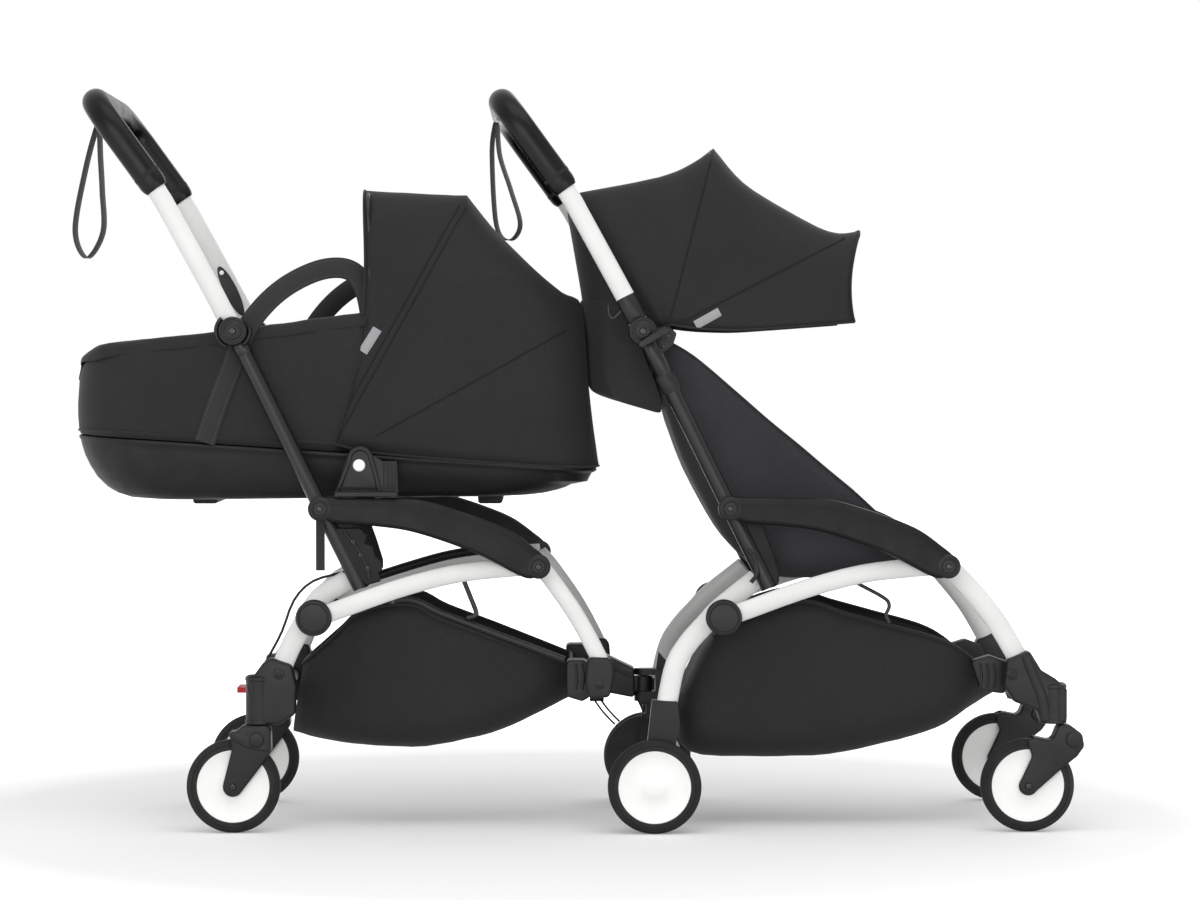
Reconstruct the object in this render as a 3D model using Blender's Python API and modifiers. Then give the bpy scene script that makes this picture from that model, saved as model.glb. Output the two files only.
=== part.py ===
"""Tandem folding pushchair: a carrycot chassis hitched behind a chassis with a sling seat."""

import math

import bmesh
import bpy
from mathutils import Matrix, Vector

# Driving dimensions, in metres. X runs forward, Y to the pushchair's left, Z up.
# Both chassis are drawn on the same side view, measured from the same point of each.
UNIT_PITCH = 0.568
SEAT_X = 0.0130
COT_X = SEAT_X - UNIT_PITCH
GAP = 0.0003

# Wheels
WHEEL_R = 0.065
WHEEL_WIDTH = 0.026
BORE_R = 0.0054
AXLE_R = 0.005

# Pivots of one chassis in the side view, as (X, Z)
FOLD = (0.086, 0.697)
HIP = (0.207, 0.451)
FRONT_PIVOT = (0.509, 0.371)
REAR_PIVOT = (0.198, 0.300)
BACK_FOOT = (0.262, 0.340)
CANOPY_PIVOT = (0.110, 0.692)
HOOD_PIVOT = (-0.362, 0.518)

# Lanes: how far each side piece lies from the middle plane
ARM_Y = 0.187
ARMREST_Y = 0.209
LEG_TOP_Y = 0.167
LEG_FOOT_Y = 0.187
CANOPY_BOW_Y = 0.155
HOOD_BOW_Y = 0.158
CASTER_Y = 0.190
REAR_WHEEL_Y = 0.211

# Tubes
ARM_WIDTH = 0.027
ARM_THICK = 0.018
LEG_WIDTH = 0.029
LEG_THICK = 0.016
RAIL_WIDTH = 0.026
RAIL_THICK = 0.014
BACK_TUBE_D = 0.018
GRIP_WIDTH = 0.038
GRIP_THICK = 0.026
CORNER_R = 0.055

# Casters: swivel axis and wheel axle in the side view
FORK_WIDTH = 0.037
FORK_SLOT = 0.029
FORK_TOP_Z = 0.1505
SEAT_SWIVEL_X = 0.658
SEAT_CASTER_X = 0.622
COT_SWIVEL_X = 0.120
COT_CASTER_X = 0.085
SEAT_REAR_WHEEL_X = 0.102
HOUSING_FOOT_Z = 0.151

# Fold lock: its plate and its heel, measured down the back tube from the fold hinge
LOCK_Y = 0.2022
LOCK_THICK = 0.0096
LOCK_WAIST = 0.036
LOCK_REACH = 0.066
LOCK_HALF = 0.0105
HEEL_TOP = 0.0362
HEEL_LOW = 0.0445

# Hitch between the chassis: its upright pin, in the front chassis' side view
HITCH_X = 0.091
HITCH_PIN_R = 0.005
HITCH_EYE_R = 0.0125
HITCH_LUG_R = 0.013
HITCH_EYE_Z = (0.181, 0.203)
HITCH_LOW_Z = (0.166, 0.1803)
HITCH_HIGH_Z = (0.2037, 0.213)

# Brake pedal's axis, on the rear chassis' cross tube
PEDAL_AXIS = (0.140, 0.190)

SIDES = {"right": -1, "left": 1}


def clear_scene():
    for obj in list(bpy.data.objects):
        bpy.data.objects.remove(obj)


def collection(name):
    made = bpy.data.collections.new(name)
    bpy.context.scene.collection.children.link(made)
    return made


def finish(name, colour, roughness, metallic=0.0):
    """A plain Principled material; colour is an sRGB hex value."""
    parts = [int(colour[i : i + 2], 16) / 255 for i in (0, 2, 4)]
    linear = [v / 12.92 if v <= 0.04045 else ((v + 0.055) / 1.055) ** 2.4 for v in parts]
    material = bpy.data.materials.new(name)
    material.use_nodes = True
    shader = material.node_tree.nodes["Principled BSDF"]
    shader.inputs["Base Color"].default_value = (*linear, 1)
    shader.inputs["Roughness"].default_value = roughness
    shader.inputs["Metallic"].default_value = metallic
    material.diffuse_color = (*linear, 1)
    return material


clear_scene()
PARTS = collection("pushchair")
WHITE_TUBE = finish("white_powder_coat", "F4F4F2", 0.35)
BLACK_TUBE = finish("black_powder_coat", "1C1C1E", 0.40)
BLACK_PLASTIC = finish("black_plastic", "202022", 0.55)
GRIP_SKIN = finish("black_grip", "18181A", 0.60)
FABRIC = finish("black_fabric", "161618", 0.90)
WEBBING = finish("black_webbing", "1B1B1D", 0.85)
TYRE = finish("tyre", "262628", 0.80)
RED_PLASTIC = finish("red_plastic", "C8202C", 0.45)


def axis_at(name, x, y, z, parent=None):
    """An empty that marks a frame or a joint axis."""
    empty = bpy.data.objects.new(name, None)
    empty.location = (x, y, z)
    empty.empty_display_size = 0.02
    empty.parent = parent
    PARTS.objects.link(empty)
    return empty


SEAT_FRAME = axis_at("seat_frame", SEAT_X, 0, 0)
COT_FRAME = axis_at("cot_frame", COT_X, 0, 0)


def hang(obj, unit, axis=None):
    """Parents a piece to its chassis or, where it moves, to the empty on its joint."""
    obj.parent = axis or unit
    if axis:
        obj.matrix_parent_inverse = Matrix.Translation(-axis.location)
    return obj


def side(points, y):
    return [(x, y, z) for x, z in points]


def fillet(points, radii):
    """A route with each inner corner rounded to its own radius, in steps of about 20 degrees."""
    points = [Vector(p) for p in points]
    route = [points[0]]
    for before, corner, after, radius in zip(points, points[1:], points[2:], radii):
        into = (before - corner).normalized()
        out = (after - corner).normalized()
        half = into.angle(out) / 2
        reach = radius / math.tan(half)
        centre = corner + (into + out).normalized() * (radius / math.sin(half))
        start = corner + into * reach - centre
        end = corner + out * reach - centre
        sweep = start.angle(end)
        steps = max(1, round(math.degrees(sweep) / 20))
        for i in range(steps + 1):
            t = i / steps
            a = math.sin((1 - t) * sweep) / math.sin(sweep)
            b = math.sin(t * sweep) / math.sin(sweep)
            route.append(centre + start * a + end * b)
    route.append(points[-1])
    return route


def smooth(points, per_span=3, cyclic=False):
    """Points on a Catmull-Rom curve through the given ones."""
    points = [Vector(p) for p in points]
    count = len(points)
    found = []
    for i in range(count if cyclic else count - 1):
        if cyclic:
            p0, p1, p2, p3 = (points[(i + k) % count] for k in (-1, 0, 1, 2))
        else:
            p1, p2 = points[i], points[i + 1]
            p0 = points[i - 1] if i else p1 * 2 - p2
            p3 = points[i + 2] if i + 2 < count else p2 * 2 - p1
        for step in range(per_span):
            t = step / per_span
            bend = (p0 * 2 - p1 * 5 + p2 * 4 - p3) * t**2 + (p1 * 3 - p0 - p2 * 3 + p3) * t**3
            found.append((p1 * 2 + (p2 - p0) * t + bend) / 2)
    return found if cyclic else [*found, points[-1]]


def arc(centre, radius, start, end, steps=6):
    """Points of an arc in the side view, angles in degrees from +X towards +Z."""
    angles = [math.radians(start + (end - start) * i / steps) for i in range(steps + 1)]
    return [(centre[0] + radius * math.cos(a), centre[1] + radius * math.sin(a)) for a in angles]


def tube(name, route, width, thick, material, resolution=2, cyclic=False):
    """A tube along a route, `width` deep in the side view and `thick` across it."""
    flat = thick / width
    data = bpy.data.curves.new(name, "CURVE")
    data.dimensions = "3D"
    data.bevel_depth = width / 2
    data.bevel_resolution = resolution
    data.use_fill_caps = not cyclic
    spline = data.splines.new("POLY")
    spline.points.add(len(route) - 1)
    for point, (x, y, z) in zip(spline.points, route):
        point.co = (x, y / flat, z, 1)
    spline.use_cyclic_u = cyclic
    spline.use_smooth = True
    data.materials.append(material)
    obj = bpy.data.objects.new(name, data)
    obj.scale.y = flat
    PARTS.objects.link(obj)
    return obj


def solid(obj):
    """The object as a mesh with its modifiers and scale applied and its caps welded."""
    bpy.context.view_layer.update()
    graph = bpy.context.evaluated_depsgraph_get()
    mesh = bpy.data.meshes.new_from_object(obj.evaluated_get(graph))
    mesh.transform(obj.matrix_basis)
    mesh.name = obj.name
    shell = bmesh.new()
    shell.from_mesh(mesh)
    bmesh.ops.remove_doubles(shell, verts=shell.verts, dist=1e-6)
    bmesh.ops.recalc_face_normals(shell, faces=shell.faces)
    shell.to_mesh(mesh)
    shell.free()
    name = obj.name
    bpy.data.objects.remove(obj)
    made = bpy.data.objects.new(name, mesh)
    PARTS.objects.link(made)
    return made


def plate(name, outline, y, thick, material):
    """A flat outline of the side view, centred on the lane y."""
    data = bpy.data.curves.new(name, "CURVE")
    data.dimensions = "2D"
    data.fill_mode = "BOTH"
    data.extrude = thick / 2
    spline = data.splines.new("POLY")
    spline.points.add(len(outline) - 1)
    for point, corner in zip(spline.points, outline):
        point.co = (corner[0], corner[1], 0, 1)
    spline.use_cyclic_u = True
    data.materials.append(material)
    obj = bpy.data.objects.new(name, data)
    obj.rotation_euler = (math.pi / 2, 0, 0)
    obj.location.y = y
    PARTS.objects.link(obj)
    return obj


def slab(name, outline, low, high, material=None):
    """A flat outline of the plan view, between two heights."""
    made = plate(name, outline, 0, high - low, material or BLACK_PLASTIC)
    made.rotation_euler = (0, 0, 0)
    made.location = (0, 0, (low + high) / 2)
    return solid(made)


def block(name, low, high, material=None):
    """A box between two corners."""
    shell = bmesh.new()
    bmesh.ops.create_cube(shell, size=1)
    middle = (Vector(low) + Vector(high)) / 2
    span = Vector(high) - Vector(low)
    bmesh.ops.transform(shell, matrix=Matrix.Diagonal((*span, 1)), verts=shell.verts)
    bmesh.ops.translate(shell, vec=middle, verts=shell.verts)
    return from_shell(name, shell, material)


def rod(name, radius, start, end, material=None, sides=16):
    """A straight round bar between two points."""
    start, end = Vector(start), Vector(end)
    shell = bmesh.new()
    bmesh.ops.create_cone(
        shell, segments=sides, cap_ends=True, radius1=radius, radius2=radius, depth=(end - start).length
    )
    turn = Vector((0, 0, 1)).rotation_difference(end - start).to_matrix().to_4x4()
    bmesh.ops.transform(shell, matrix=Matrix.Translation((start + end) / 2) @ turn, verts=shell.verts)
    return from_shell(name, shell, material)


def from_shell(name, shell, material):
    mesh = bpy.data.meshes.new(name)
    shell.to_mesh(mesh)
    shell.free()
    if material:
        mesh.materials.append(material)
    obj = bpy.data.objects.new(name, mesh)
    PARTS.objects.link(obj)
    return obj


def turned(name, profile, centre, material, steps=24):
    """A ring about an axis along Y: the profile is (radius, offset along the axis)."""
    mesh = bpy.data.meshes.new(name)
    count = len(profile)
    edges = [(i, (i + 1) % count) for i in range(count)]
    mesh.from_pydata([(r, 0, offset) for r, offset in profile], edges, [])
    mesh.materials.append(material)
    obj = bpy.data.objects.new(name, mesh)
    obj.rotation_euler = (math.pi / 2, 0, 0)
    obj.location = centre
    spin = obj.modifiers.new("spin", "SCREW")
    spin.steps = spin.render_steps = steps
    spin.use_merge_vertices = True
    spin.merge_threshold = 1e-5
    spin.use_smooth_shade = True
    PARTS.objects.link(obj)
    return obj


def boolean(target, kind, others):
    """Joins the others to the target, or cuts them from it."""
    for other in others:
        change = target.modifiers.new(kind.lower(), "BOOLEAN")
        change.operation = kind
        change.object = other
        target = solid(target)
        bpy.data.objects.remove(other)
    return target


def join(target, *others):
    return boolean(target, "UNION", others)


def cut(target, *others):
    return boolean(target, "DIFFERENCE", others)


def round_edges(obj, width=0.002, segments=2):
    bevel = obj.modifiers.new("edges", "BEVEL")
    bevel.width = width
    bevel.segments = segments
    bevel.limit_method = "ANGLE"
    bevel.angle_limit = math.radians(50)
    return obj


def shell_from_sections(name, sections, material, closed, ends):
    """Quads between like sections; `ends` says which of the two ends is filled."""
    shell = bmesh.new()
    rows = [[shell.verts.new(p) for p in section] for section in sections]
    count = len(rows[0])
    for row, after in zip(rows, rows[1:]):
        for i in range(count if closed else count - 1):
            k = (i + 1) % count
            shell.faces.new((row[i], row[k], after[k], after[i]))
    if ends[0]:
        shell.faces.new(rows[0][::-1])
    if ends[1]:
        shell.faces.new(rows[-1])
    bmesh.ops.recalc_face_normals(shell, faces=shell.faces)
    return from_shell(name, shell, material)


def thicken(obj, wall, offset=0.0):
    skin = obj.modifiers.new("wall", "SOLIDIFY")
    skin.thickness = wall
    skin.offset = offset
    skin.use_even_offset = True
    return obj


def trough(name, stations, corner, wall, material, ends=(False, False), steps=3):
    """Cloth over a row of stations, each (edge, keel, half width): down one side, round and up the other."""
    sections = []
    for edge, keel, half in stations:
        edge, keel = Vector((edge[0], 0, edge[1])), Vector((keel[0], 0, keel[1]))
        depth = (keel - edge).length
        way = (keel - edge) / depth
        radius = min(corner, depth * 0.9, half * 0.9)
        quarter = [math.pi / 2 * i / steps for i in range(steps + 1)]
        near = [(0, -half)]
        near += [
            (depth - radius + radius * math.sin(a), -half + radius - radius * math.cos(a)) for a in quarter
        ]
        profile = near + [(v, -y) for v, y in reversed(near)]
        sections.append([edge + way * v + Vector((0, y, 0)) for v, y in profile])
    return thicken(shell_from_sections(name, sections, material, False, ends), wall)


def plan_ring(x0, x1, half, corner, height, steps=3, head_half=None, split=None):
    """A rounded rectangle seen from above; height is a function of x."""
    ring = []
    for sx, sy, start in ((1, 1, 0), (-1, 1, 90), (-1, -1, 180), (1, -1, 270)):
        middle = Vector(((x1 - corner) if sx > 0 else (x0 + corner), sy * (half - corner)))
        for i in range(steps + 1):
            angle = math.radians(start + 90 * i / steps)
            ring.append(middle + corner * Vector((math.cos(angle), math.sin(angle))))
    if split is not None:
        ring = [p for q in ring_with_split(ring, split) for p in q]
        ring = [Vector((p.x, p.y * (head_half / half if p.x > split else 1))) for p in ring]
    return [(p.x, p.y, height(p.x)) for p in ring]


def ring_with_split(ring, split):
    """Adds two points on each long side, just before and just after x = split."""
    for here, after in zip(ring, ring[1:] + ring[:1]):
        yield [here]
        if (here.x - split) * (after.x - split) < 0 and abs(here.x - after.x) > 0.1:
            sign = 1 if after.x > here.x else -1
            yield [Vector((split - 0.012 * sign, here.y)), Vector((split + 0.012 * sign, here.y))]


def between(x0, z0, x1, z1):
    """A height that runs in a straight line from (x0, z0) to (x1, z1)."""
    return lambda x: z0 + (z1 - z0) * (x - x0) / (x1 - x0)


def along(start, end, distance):
    """The point of the side view `distance` from start towards end."""
    way = (Vector(end) - Vector(start)).normalized()
    return tuple(Vector(start) + way * distance)


# Chassis pieces that both units share


def handle_route(from_grip=False):
    """The push handle: up one arm, across and down the other."""
    foot = along(FOLD, (0.061, 0.746), -0.017)
    arm = [foot, (0.061, 0.746), (-0.020, 0.894), (-0.110, 1.018)]
    radii = [0.30, 0.30, CORNER_R]
    if from_grip:
        arm = arm[2:]
        radii = [CORNER_R]
    points = side(arm, -ARM_Y) + side(arm[::-1], ARM_Y)
    return fillet(points, radii + radii[::-1])


def handle(prefix, unit, axis):
    bar = solid(tube(prefix + "_handlebar", handle_route(), ARM_WIDTH, ARM_THICK, WHITE_TUBE))
    holes = [
        rod("hole", 0.0044, (FOLD[0], s * 0.17, FOLD[1]), (FOLD[0], s * 0.21, FOLD[1]), sides=12)
        for s in SIDES.values()
    ]
    hang(cut(bar, *holes), unit, axis)
    grip = solid(tube(prefix + "_grip", handle_route(True), GRIP_WIDTH, GRIP_THICK, GRIP_SKIN))
    core_width = ARM_WIDTH + 2 * GAP
    core = solid(tube("core", handle_route(), core_width, ARM_THICK + 2 * GAP, GRIP_SKIN))
    hang(cut(grip, core), unit, axis)


def wrist_strap(prefix, unit, axis, drop):
    """A webbing loop that hangs from the middle of the grip."""
    route = smooth(side(drop, 0), 3, cyclic=True)
    strap = tube(prefix + "_wrist_strap", route, 0.0026, 0.014, WEBBING, resolution=1, cyclic=True)
    hang(strap, unit, axis)


def fold_lock(prefix, unit, label, s, clamp):
    """The hinge plate outside the tubes, its heel under the arm, and the hinge pin."""
    low = along(FOLD, HIP, LOCK_REACH)
    waist = along(FOLD, HIP, LOCK_WAIST)
    across = Vector((FOLD[1] - HIP[1], HIP[0] - FOLD[0])).normalized() * LOCK_HALF
    outline = arc(FOLD, 0.0195, -30, 205, 12)
    outline += [tuple(Vector(waist) - across), tuple(Vector(low) - across)]
    outline += [tuple(Vector(low) + across), tuple(Vector(waist) + across)]
    lock = solid(plate(f"{prefix}_fold_lock_{label}", outline, s * LOCK_Y, LOCK_THICK, BLACK_PLASTIC))
    heel_top = Vector(along(FOLD, HIP, HEEL_TOP))
    heel_low = Vector(along(FOLD, HIP, HEEL_LOW))
    reach = across * 0.94
    corners = [heel_top - reach, heel_low - reach, heel_low + reach, heel_top + reach]
    heel = solid(plate("heel", [tuple(c) for c in corners], s * 0.1873, 0.0234, BLACK_PLASTIC))
    pin = rod("pin", 0.004, (FOLD[0], s * 0.177, FOLD[1]), (FOLD[0], s * 0.200, FOLD[1]), sides=12)
    extra = [heel, pin]
    if clamp:
        hub = arc(CANOPY_PIVOT, 0.010, -60, 150, 8)
        heel_mid = (heel_top + heel_low) / 2
        shape = hub + [tuple(heel_mid - across * 0.6), tuple(heel_mid + across * 0.6)]
        extra.append(solid(plate("clamp", shape, s * 0.1733, 0.0086, BLACK_PLASTIC)))
    hang(join(lock, *extra), unit)


def back_tube(prefix, unit, label, s):
    """The black tube from the fold lock to the foot, and the link plate round its lower end."""
    top = along(FOLD, HIP, 0.045)
    route = side([top, HIP, BACK_FOOT], s * ARM_Y)
    post = solid(tube(f"{prefix}_back_tube_{label}", route, BACK_TUBE_D, BACK_TUBE_D, BLACK_TUBE))
    outline = [(0.197, 0.452), (0.206, 0.468), (0.224, 0.462), (0.262, 0.425), (0.290, 0.356)]
    outline += [(0.284, 0.344), (0.258, 0.338), (0.246, 0.350)]
    link = solid(plate("link", outline, s * 0.1845, 0.0128, BLACK_PLASTIC))
    hang(join(post, link), unit)


def armrest(prefix, unit, label, s):
    """The curved side blade from the hip to the front pivot."""
    top = smooth([(0.222, 0.466), (0.300, 0.465), (0.358, 0.461), (0.456, 0.428), (0.503, 0.397)], 2)
    bottom = smooth([(0.486, 0.356), (0.420, 0.390), (0.339, 0.418), (0.282, 0.427), (0.222, 0.431)], 2)
    outline = [tuple(p) for p in top]
    outline += arc(FRONT_PIVOT, 0.0165, 55, -110, 6)
    outline += [tuple(p) for p in bottom[:-1]]
    outline += arc(HIP, 0.0165, 300, 90, 6)
    blade = plate(f"{prefix}_armrest_{label}", outline, s * ARMREST_Y, 0.020, BLACK_PLASTIC)
    hang(round_edges(solid(blade), 0.003, 1), unit)


def rail_lane(x):
    share = (x - REAR_PIVOT[0]) / (FRONT_PIVOT[0] - REAR_PIVOT[0])
    return 0.2075 + (ARM_Y - 0.2075) * share


def side_rail(prefix, unit, label, s):
    """The white rail under the armrest, with the round cover of the rear pivot."""
    line = [REAR_PIVOT, (0.224, 0.308), (0.315, 0.340), (0.394, 0.360), (0.465, 0.368), FRONT_PIVOT]
    route = [(x, s * rail_lane(x), z) for x, z in smooth(line, 2)]
    rail = solid(tube(f"{prefix}_side_rail_{label}", route, RAIL_WIDTH, RAIL_THICK, WHITE_TUBE))
    x, z = REAR_PIVOT
    disc = rod("disc", 0.025, (x, s * 0.199, z), (x, s * 0.221, z), sides=24)
    boss = rod("boss", 0.008, (x, s * 0.183, z), (x, s * 0.205, z), sides=12)
    hang(join(rail, disc, boss), unit)


def leg(name, unit, line, s, extra=0.0):
    """A hind or fore leg, from the lane of its top to the lane of its foot."""
    top, foot = line[0][1], line[-1][1]
    route = []
    for x, z in smooth(line, 2):
        lane = LEG_TOP_Y + (LEG_FOOT_Y - LEG_TOP_Y) * (top - z) / (top - foot)
        route.append(Vector((x, s * lane, z)))
    route[-1] += (route[-1] - route[-2]).normalized() * extra
    return hang(tube(name, route, LEG_WIDTH + extra, LEG_THICK + extra, WHITE_TUBE), unit)


SEAT_HIND = [(0.245, 0.351), (0.195, 0.311), (0.174, 0.289), (0.149, 0.261), (0.131, 0.229), (0.118, 0.170)]
COT_HIND = [(0.242, 0.350), (0.203, 0.324), (0.175, 0.279), (0.158, 0.245), (0.146, 0.212)]
SEAT_FORE = [FRONT_PIVOT, (0.536, 0.346), (0.579, 0.293), (0.616, 0.230)]
COT_FORE = [FRONT_PIVOT, (0.530, 0.352), (0.565, 0.304), (0.596, 0.228)]


def chassis(prefix, unit, handle_axis, drop, hind, fore, clamp):
    handle(prefix, unit, handle_axis)
    wrist_strap(prefix, unit, handle_axis, drop)
    for label, s in SIDES.items():
        fold_lock(prefix, unit, label, s, clamp)
        back_tube(prefix, unit, label, s)
        armrest(prefix, unit, label, s)
        side_rail(prefix, unit, label, s)
        leg(f"{prefix}_hind_leg_{label}", unit, hind, s)
        leg(f"{prefix}_fore_leg_{label}", unit, fore, s)


# Wheels and casters


def wheel(name, unit, axis, x, y):
    """A solid tyre on a flat disc, with a bore for the axle."""
    half = WHEEL_WIDTH / 2
    rim = WHEEL_R - 0.014
    profile = [(BORE_R, half - 0.002), (rim, half - 0.002), (rim + 0.002, half), (WHEEL_R - 0.003, half)]
    profile += [(WHEEL_R, half - 0.007), (WHEEL_R, 0.007 - half), (WHEEL_R - 0.003, -half)]
    profile += [(rim + 0.002, -half), (rim, 0.002 - half), (BORE_R, 0.002 - half)]
    hang(turned(name, profile, (x, y, WHEEL_R), TYRE), unit, axis)


def caster_fork(name, unit, axis, outline, swivel_x, wheel_x, y):
    """A swivelling fork: two arms round the wheel, the crown above and the axle through it."""
    body = solid(plate(name, outline, y, FORK_WIDTH, BLACK_PLASTIC))
    slot = FORK_SLOT / 2
    hub = FORK_WIDTH / 2 - 0.0005
    room = rod("room", WHEEL_R + 0.003, (wheel_x, y - slot, WHEEL_R), (wheel_x, y + slot, WHEEL_R), sides=32)
    body = cut(body, room)
    crown = rod("crown", 0.018, (swivel_x, y, FORK_TOP_Z - 0.010), (swivel_x, y, FORK_TOP_Z), sides=20)
    axle = rod("axle", AXLE_R, (wheel_x, y - hub, WHEEL_R), (wheel_x, y + hub, WHEEL_R), sides=16)
    hang(join(body, crown, axle), unit, axis)


def seat_fork_outline():
    hub = (SEAT_CASTER_X, WHEEL_R)
    outline = [(0.664, 0.150), (0.680, 0.150), (0.697, 0.136), (0.700, 0.120)]
    outline += [(0.690, 0.106), (0.672, 0.092)]
    outline += arc(hub, 0.0135, -35, -190, 6)
    outline += [(0.627, 0.106), (0.619, 0.129), (0.632, 0.133), (0.655, 0.128)]
    return outline


def cot_fork_outline():
    hub = (COT_CASTER_X, WHEEL_R)
    outline = [(0.083, 0.138), (0.100, 0.1505), (0.137, 0.1505), (0.138, 0.114), (0.126, 0.096)]
    outline += arc(hub, 0.0140, -40, -190, 6)
    outline += [(0.083, 0.114)]
    return outline


def casters(prefix, unit, swivel_x, wheel_x, outline):
    for label, s in SIDES.items():
        y = s * CASTER_Y
        swivel = axis_at(f"{prefix}_swivel_{label}", swivel_x, y, 0, unit)
        spin = axis_at(f"{prefix}_spin_{label}", wheel_x, y, WHEEL_R, unit)
        caster_fork(f"{prefix}_caster_fork_{label}", unit, swivel, outline, swivel_x, wheel_x, y)
        wheel(f"{prefix}_caster_wheel_{label}", unit, spin, wheel_x, y)


def sockets(body, unit, line):
    """Cuts the leg ends' seats, a gap wider than the legs."""
    seats = []
    for s in SIDES.values():
        wider = leg("seat", unit, line, s, 2 * GAP)
        wider.parent = None
        seats.append(solid(wider))
    return cut(body, *seats)


def front_crossmember():
    """The front cross tube with its leg sockets and caster housings."""
    body = rod("seat_front_crossmember", 0.011, (0.625, -0.180, 0.203), (0.625, 0.180, 0.203), BLACK_PLASTIC)
    outline = [(0.592, 0.240), (0.623, 0.254), (0.640, 0.224), (0.664, 0.212), (0.676, 0.202), (0.676, 0.152)]
    outline += [(0.640, 0.152), (0.634, 0.172), (0.600, 0.184), (0.590, 0.200)]
    extra = []
    for s in SIDES.values():
        extra.append(solid(plate("arm", outline, s * 0.190, 0.030, BLACK_PLASTIC)))
        foot = (SEAT_SWIVEL_X, s * CASTER_Y, HOUSING_FOOT_Z)
        top = (SEAT_SWIVEL_X, s * CASTER_Y, 0.208)
        extra.append(rod("housing", 0.0185, foot, top, sides=20))
    hang(sockets(join(body, *extra), SEAT_FRAME, SEAT_FORE), SEAT_FRAME)


def rear_crossmember():
    """The rear unit's cross tube with its leg sockets and caster housings."""
    x, z = PEDAL_AXIS
    body = rod("cot_rear_crossmember", 0.012, (x, -0.180, z), (x, 0.180, z), BLACK_PLASTIC, sides=20)
    outline = [(0.102, 0.152), (0.104, 0.213), (0.126, 0.246), (0.137, 0.248), (0.166, 0.232)]
    outline += [(0.166, 0.190), (0.152, 0.152)]
    extra = []
    for s in SIDES.values():
        extra.append(solid(plate("arm", outline, s * 0.190, 0.032, BLACK_PLASTIC)))
        foot = (COT_SWIVEL_X, s * CASTER_Y, HOUSING_FOOT_Z)
        top = (COT_SWIVEL_X, s * CASTER_Y, 0.214)
        extra.append(rod("housing", 0.0185, foot, top, sides=20))
    hang(sockets(join(body, *extra), COT_FRAME, COT_HIND), COT_FRAME)


def brake_pedal():
    """The foot brake: a sleeve round the cross tube with a red toe plate behind."""
    x, z = PEDAL_AXIS
    axis = axis_at("brake_axis", x, 0, z, COT_FRAME)
    sleeve = rod("brake_pedal", 0.0175, (x, -0.030, z), (x, 0.030, z), RED_PLASTIC, sides=20)
    toe = block("toe", (0.076, -0.026, z - 0.010), (x - 0.010, 0.026, z - 0.002))
    bore = rod("bore", 0.0128, (x, -0.040, z), (x, 0.040, z), sides=20)
    hang(cut(join(sleeve, toe), bore), COT_FRAME, axis)


def hitch_beam():
    """The rear unit's front cross tube, with the tongue whose eye turns on the hitch pin."""
    x = 0.586
    body = rod("hitch_beam", 0.014, (x, -0.180, 0.200), (x, 0.180, 0.200), BLACK_PLASTIC)
    socket = [(0.570, 0.250), (0.610, 0.238), (0.616, 0.222)]
    socket += [(0.606, 0.182), (0.568, 0.180), (0.560, 0.214)]
    extra = [solid(plate("socket", socket, s * 0.186, 0.026, BLACK_PLASTIC)) for s in SIDES.values()]
    tongue = [(0.580, 0.216), (0.604, 0.232), (0.644, 0.2135)]
    tongue += [(0.644, 0.172), (0.604, 0.180), (0.580, 0.186)]
    extra.append(solid(plate("tongue", tongue, 0, 0.044, BLACK_PLASTIC)))
    pin_x = HITCH_X + UNIT_PITCH
    low, high = HITCH_EYE_Z
    extra.append(block("neck", (0.640, -0.010, low), (pin_x - 0.004, 0.010, high)))
    extra.append(rod("eye", HITCH_EYE_R, (pin_x, 0, low), (pin_x, 0, high), sides=20))
    body = join(body, *extra)
    body = cut(body, rod("bore", HITCH_PIN_R + GAP, (pin_x, 0, low - 0.02), (pin_x, 0, high + 0.02)))
    hang(sockets(body, COT_FRAME, COT_FORE), COT_FRAME)


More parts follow.
